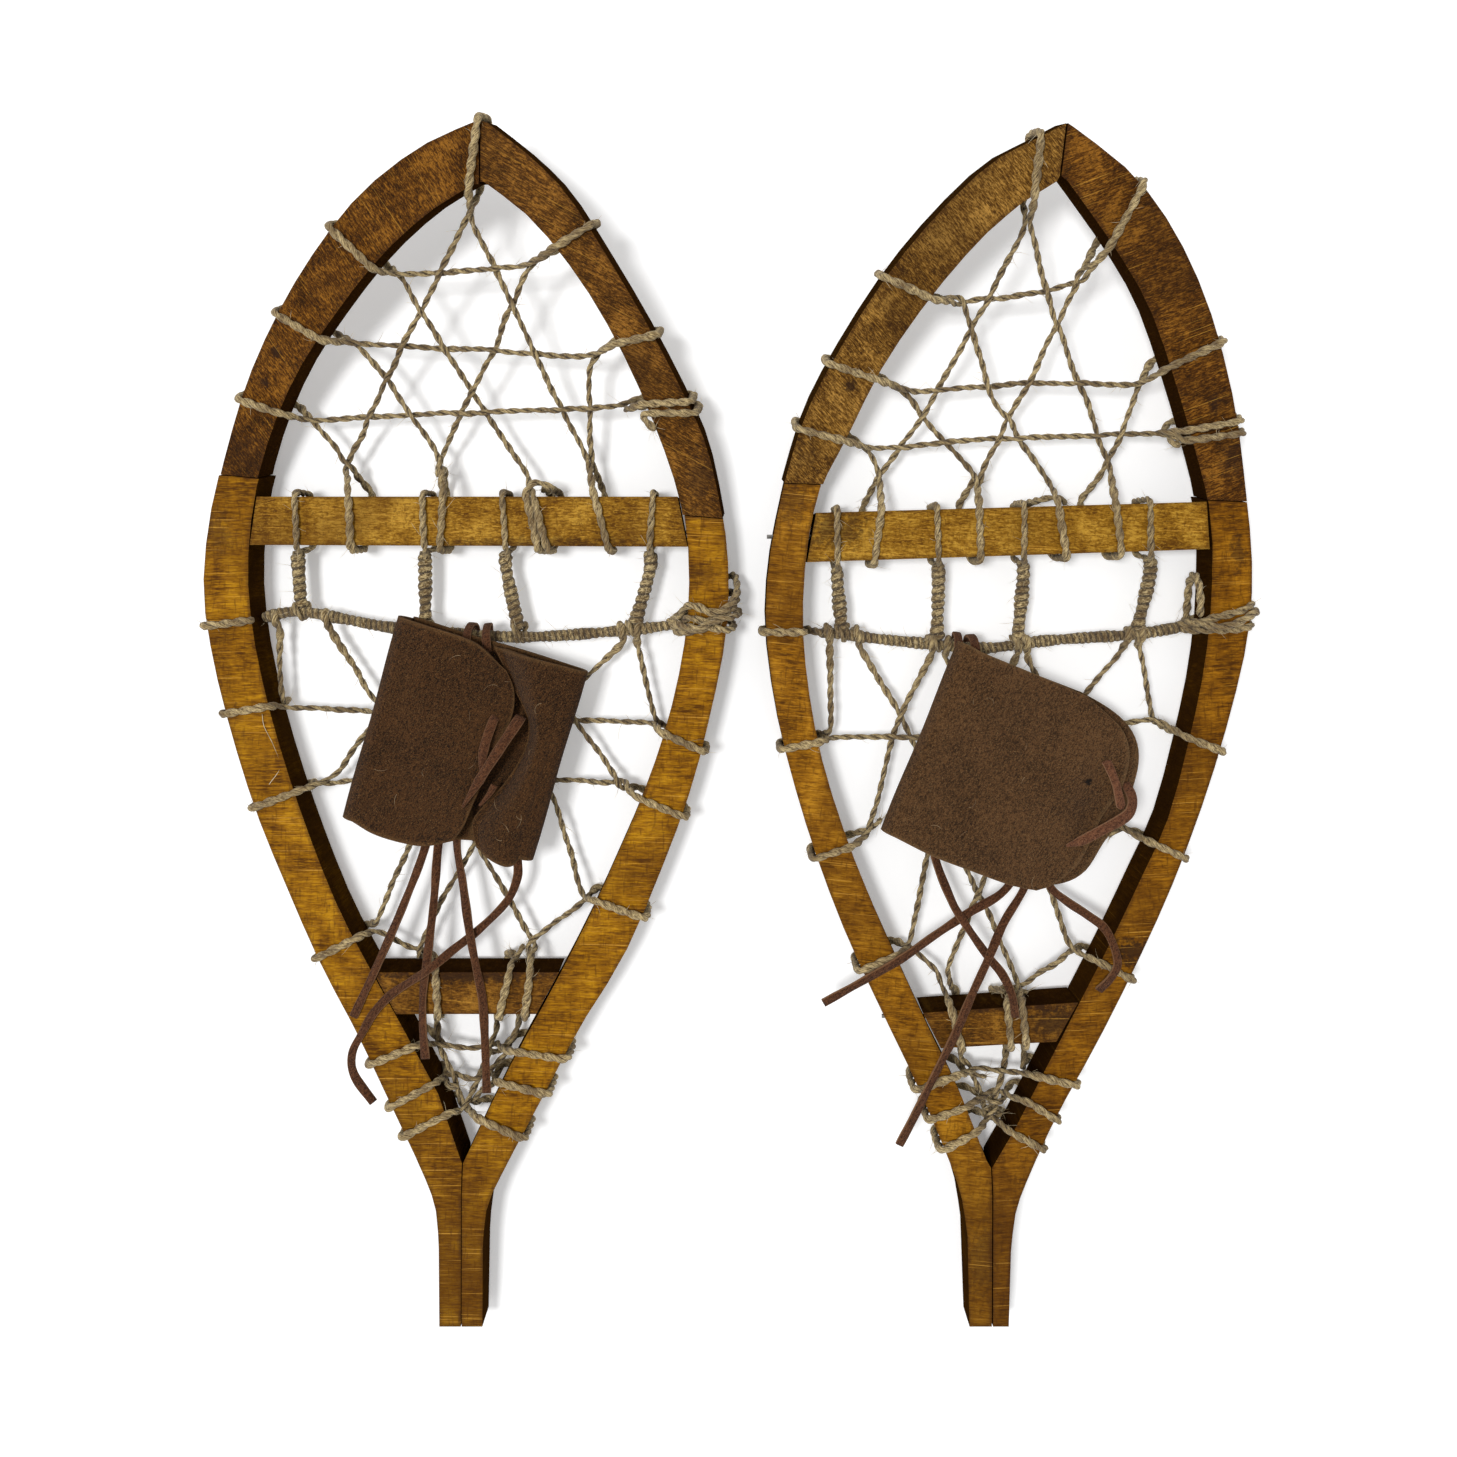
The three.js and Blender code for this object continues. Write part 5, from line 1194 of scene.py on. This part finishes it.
POCKETS = [
    ("left_pocket_suede_a", ((-127.6, -28.3), (-109.2, 37.8)),
     {"low": [(-116.2, -33.6), (-107.5, -36.4), (-99.5, -37.6)],
      "far": [(-90.6, -35.9), (-87, -31), (-84, -24), (-79.6, -14), (-76, -4), (-71.4, 4.5),
              (-70.6, 13), (-73.2, 19.6)],
      "high": [(-87.4, 31), (-80.5, 27.2)]},
     {"low": [(-113, -35.2), (-99.5, -36.4)], "far": [(-85.6, -37.3), (-86.6, 31.4)],
      "high": [(-104.5, 37.2), (-97, 34.8)]},
     gentle, ("left_flap_a", "left_pocket"), ["left_pocket_back", "left_pocket_flap_a"],
     DARK_SUEDE),
    ("left_pocket_suede_b", ((-64.7, -43), (-46.6, 19.3)),
     {"low": [(-72, -43.9), (-77.2, -41.9)],
      "far": [(-82.6, -38.2), (-84.2, -30), (-80, -24), (-72.5, -15.5), (-67, -5), (-66.4, 4),
              (-71.4, 15), (-77.6, 27.6)],
      "high": [(-58, 22.6)]},
     {"low": [(-74, -42)], "far": [(-85.6, -37.3), (-86.6, 31.4)], "high": [(-66, 25.4)]},
     rolled, ("left_flap_b", "left_pocket"), ["left_pocket_flap_b"], DARK_SUEDE),
    ("right_pocket_suede", ((50.3, -33), (75.9, 29.5)),
     {"low": [(66.8, -40.8), (78, -45.1), (92, -50.3)],
      "far": [(101, -52.3), (107, -50.2), (114.6, -43.8), (119.2, -36), (124, -27),
              (128.8, -18.8), (131.2, -11), (131.3, -5), (129.2, 0.6), (124.4, 5.6), (118, 11.4)],
      "high": [(84.5, 25.4), (103, 17.8)]},
     {"low": [(66.8, -40.6), (78, -44.9), (92, -50.1)],
      "far": [(101, -52.2), (111, -51.8), (119, -47.5), (125.5, -37.5), (132.3, -29),
              (134.8, -20.5), (136.8, -12), (136.4, -5), (133.2, 1.2), (127, 6.7), (118, 12)],
      "high": [(84.5, 25), (103, 17.8)]},
     dipped, ("right_flap", "right_pocket"), ["right_pocket_back", "right_pocket_flap"],
     PALE_SUEDE),
]
FLAT_LENGTHS = {"left_pocket_suede_a": 0.091, "left_pocket_suede_b": 0.058,
                "right_pocket_suede": 0.145}
for name, crease, flap, back, shape, bodies, nodes, suede in POCKETS:
    sheet, area, width = folded_sheet(name, crease, flap, back, shape, bodies, suede)
    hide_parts(*nodes)
    side = name.split("_")[0]

# ---------------------------------------------------------------- pocket laces and ties
FASTENERS = {
    "left": ("left_flap_a", LACE, (11, 11, 11), [
        [(-76.4, 4.6, 24.6), (-77.2, 3, 26.6), (-79.4, -4, 27.9), (-80.4, -10, 27.6),
         (-80.4, -17, 26.9)],
        [(-68.2, 4.6, 25.0), (-69.4, 2.6, 27.4), (-75, -6, 28.6), (-80.6, -14.6, 28.4),
         (-86.8, -24.4, 27.2)],
        [(-76.6, -17.4, 26.6), (-78.4, -20.6, 26.9), (-81.4, -24, 26.8)],
    ]),
    "right": ("right_flap", PALE_LACE, (1, 5), [
        [(123.8, -9.8, 24.6), (124.4, -11.4, 26.8), (126.4, -17, 27.8), (128.4, -25.2, 27)],
        [(131.6, -18, 20.4), (132.6, -21.2, 23.8), (131.9, -24.4, 26.6), (129.4, -27.4, 28),
         (121.8, -31.6, 28.4), (114.8, -35.4, 27.8), (110.6, -37.4, 25.6)],
    ]),
}
STRAP_CLEARANCE = 0.85
STRAP_REACH = 1.3
STRAP_WIDTHS = (3.0, 3.4, 3.0)


def lie_on(skin, points):
    """A strap's route, raised where it would sink into the suede. It starts in a hole."""
    path = resample(smooth_curve(points), 1.6)[0]
    for spot in path[1:]:
        for dx, dy in ((0, 0), (1, 0), (-1, 0), (0, 1), (0, -1)):
            under = below(skin, spot[0] + dx * STRAP_REACH, spot[1] + dy * STRAP_REACH)
            if under is not None:
                spot[2] = max(spot[2], under.z + STRAP_CLEARANCE)
    return path


for side, (body, suede, tapers, straps) in FASTENERS.items():
    skin = skin_of([bpy.data.objects[name] for name in FLAT_LENGTHS if name.startswith(side)])
    parts = [ribbon(lie_on(skin, points), roll=0.12, width=wide, step=0.7, taper=taper)[:2]
             for points, wide, taper in zip(straps, STRAP_WIDTHS, tapers)]
    add_lace(f"{side}_fastening_lace", parts, suede, body, f"{side}_pocket_lace")

TIES = {
    "left": [(-86.4, 30.4, 0.9), (-81.6, 30.2, -1.4)],
    "right": [(81.6, 26.4, -0.8), (77.4, 27.2, 1.2)],
}
TIE_LOOP = [(-4.6, 8.6), (0, 9.0), (3.0, 6.2), (4.1, 1.6), (3.2, -2.4), (0.4, -4.2), (-2.4, -3),
            (-3.4, 0.8), (-3.8, 4.6)]
for side, loops in TIES.items():
    parts = []
    for x, y, lean in loops:
        points = [(x + lean * (i / 4 - 1), y + dy, CORD_HEIGHT + dz)
                  for i, (dy, dz) in enumerate(TIE_LOOP)]
        parts.append(ribbon(points, step=0.7, level=False)[:2])
    add_lace(f"{side}_cord_tie", parts, LACE, f"{side}_pocket", f"{side}_toe_tie")

# ---------------------------------------------------------------- wood and steel
AMBER = (srgb(76, 42, 0), srgb(132, 85, 0), srgb(176, 124, 10))
WARM_AMBER = (srgb(78, 44, 0), srgb(132, 84, 4), srgb(176, 122, 24))
DEEP_AMBER = (srgb(70, 38, 0), srgb(120, 74, 2), srgb(162, 108, 14))
GOLD = (srgb(84, 50, 4), srgb(134, 92, 16), srgb(182, 138, 48))
DEEP_GOLD = (srgb(54, 30, 2), srgb(98, 60, 8), srgb(146, 100, 30))
BROWN = (srgb(38, 19, 0), srgb(78, 43, 2), srgb(144, 94, 26))
OLIVE = (srgb(52, 29, 4), srgb(100, 66, 18), srgb(172, 128, 58))
DARK = (srgb(44, 24, 2), srgb(84, 50, 8), srgb(146, 98, 34))
FLAT = (0, 0, 1)
RAISED = (0, -math.sin(TOE_TILT), math.cos(TOE_TILT))
SAWN = 0.75
WOOD = {
    "left_foot_rail_a": (AMBER, (0.0, 8, SAWN, 0.55), FLAT, [((-172, 66, 18), (7, 9, 6), 0.4)]),
    "left_foot_rail_b": (AMBER, (0.03, 8, SAWN, 0.55), FLAT, [((-10, 52, 18), (8, 5, 6), 0.3)]),
    "right_foot_rail_a": (WARM_AMBER, (0.1, 7, SAWN, 0.55), FLAT,
                          [((20, 76, 18), (9, 8, 6), 0.5), ((86, -178, 16), (8, 14, 8), 0.4)]),
    "right_foot_rail_b": (DEEP_AMBER, (-0.05, 7, SAWN, 0.55), FLAT,
                          [((135, -75, 18), (9, 5, 8), 0.85), ((170, 58.5, 18), (3, 7, 6), 0.6)]),
    "left_toe_rail_a": (BROWN, (1.0, 2.2, 0.5, 0.8), RAISED,
                        [((-151.5, 114, 28), (2, 2, 4), 0.9), ((-147, 124, 30), (2, 2, 4), 0.9),
                         ((-160, 88, 22), (9, 12, 8), 0.4)]),
    "left_toe_rail_b": (DARK, (0.5, 2.6, 0.5, 0.75), RAISED, [((-9, 84, 22), (6, 12, 6), 0.6)]),
    "right_toe_rail_a": (OLIVE, (0.8, 2.4, 0.5, 0.75), RAISED,
                         [((40, 113, 28), (3, 2.4, 4), 0.9), ((24, 90, 24), (8, 8, 6), 0.45)]),
    "right_toe_rail_b": (BROWN, (-0.35, 3.2, 0.6, 0.7), RAISED,
                         [((159, 107, 28), (2.4, 4, 4), 0.85), ((167, 88, 24), (5, 7, 6), 0.6)]),
    "left_toe_bar": (GOLD, (0.02, 2.8, 0.65, 0.65), FLAT, [((-62, 62, 18), (40, 2.2, 4), 0.5)]),
    "left_heel_bar": (DEEP_GOLD, (0.1, 2.8, 0.65, 0.6), FLAT, [((-88, -82.5, 18), (34, 2.6, 6), 0.8)]),
    "right_toe_bar": (GOLD, (0.05, 2.8, 0.65, 0.65), FLAT, [((36, 67, 18), (11, 8, 8), 0.62)]),
    "right_heel_bar": (DEEP_GOLD, (0.0, 2.8, 0.65, 0.6), FLAT,
                       [((90, -92.5, 18), (28, 2.6, 6), 0.75), ((108, -98, 18), (9, 5, 6), 0.7)]),
}
for name, (tones, grain, up, spots) in WOOD.items():
    node = bpy.data.objects[name]
    paint(node, wood_material(f"wood_{name}", tones, grain, up, spots))
    soften(node, "worn_edges", 0.7, 3, 42)


def steel_material():
    shader = Shader("pin_steel")
    scratches = shader.noise(shader.place((900, 9000, 9000)), 1.0, 3)
    colour = shader.mix(scratches, srgb(120, 116, 110), srgb(176, 174, 170))
    return shader.finish(colour, 0.38, scratches, 0.00002, Metallic=1.0)


STEEL = steel_material()
for name in frame["nodes"]:
    if "_pin_" in name:
        paint(bpy.data.objects[name], STEEL)

# ---------------------------------------------------------------- floor and light
# The floor glows a little though it is no lamp: painted light that lightens the shadows cast on it.
PAINTED_FLOOR_GLOW = 0.2
FLOOR_REACH = 4


def floor():
    shader = Shader("studio_floor")
    grain = shader.noise(shader.place((20, 20, 20)), 1.0, 2)
    colour = shader.mix(grain, (0.9, 0.9, 0.9, 1), (0.915, 0.915, 0.915, 1))
    shader.finish(colour, 0.9, grain, 0.00001, Specular_IOR_Level=0.0,
                  Emission_Color=(1, 1, 1, 1), Emission_Strength=PAINTED_FLOOR_GLOW)
    mesh = bpy.data.meshes.new("studio_floor")
    corners = [(x * FLOOR_REACH, y * FLOOR_REACH, 0) for x, y in ((-1, -1), (1, -1), (1, 1), (-1, 1))]
    mesh.from_pydata(corners, [], [(0, 1, 2, 3)])
    plane = bpy.data.objects.new("studio_floor", mesh)
    bpy.context.scene.collection.objects.link(plane)
    mesh.materials.append(shader.material)


floor()
AMBIENT = 0.66
KEY_POWER = 13.4
KEY_SIZE = 0.26
KEY_DISTANCE = 1.5
KEY_LEAN = math.radians(15)
sky = bpy.data.worlds.new("studio")
sky.use_nodes = True
background = sky.node_tree.nodes["Background"]
background.inputs["Color"].default_value = (1, 1, 1, 1)
background.inputs["Strength"].default_value = AMBIENT
bpy.context.scene.world = sky
key_data = bpy.data.lights.new("key", "AREA")
key_data.energy = KEY_POWER
key_data.size = KEY_SIZE
key = bpy.data.objects.new("key", key_data)
key.location = (-KEY_DISTANCE * math.sin(KEY_LEAN), 0.1, KEY_DISTANCE * math.cos(KEY_LEAN))
key.rotation_euler = (-0.06, -KEY_LEAN, 0)
bpy.context.scene.collection.objects.link(key)
bpy.context.scene.view_settings.view_transform = "Standard"
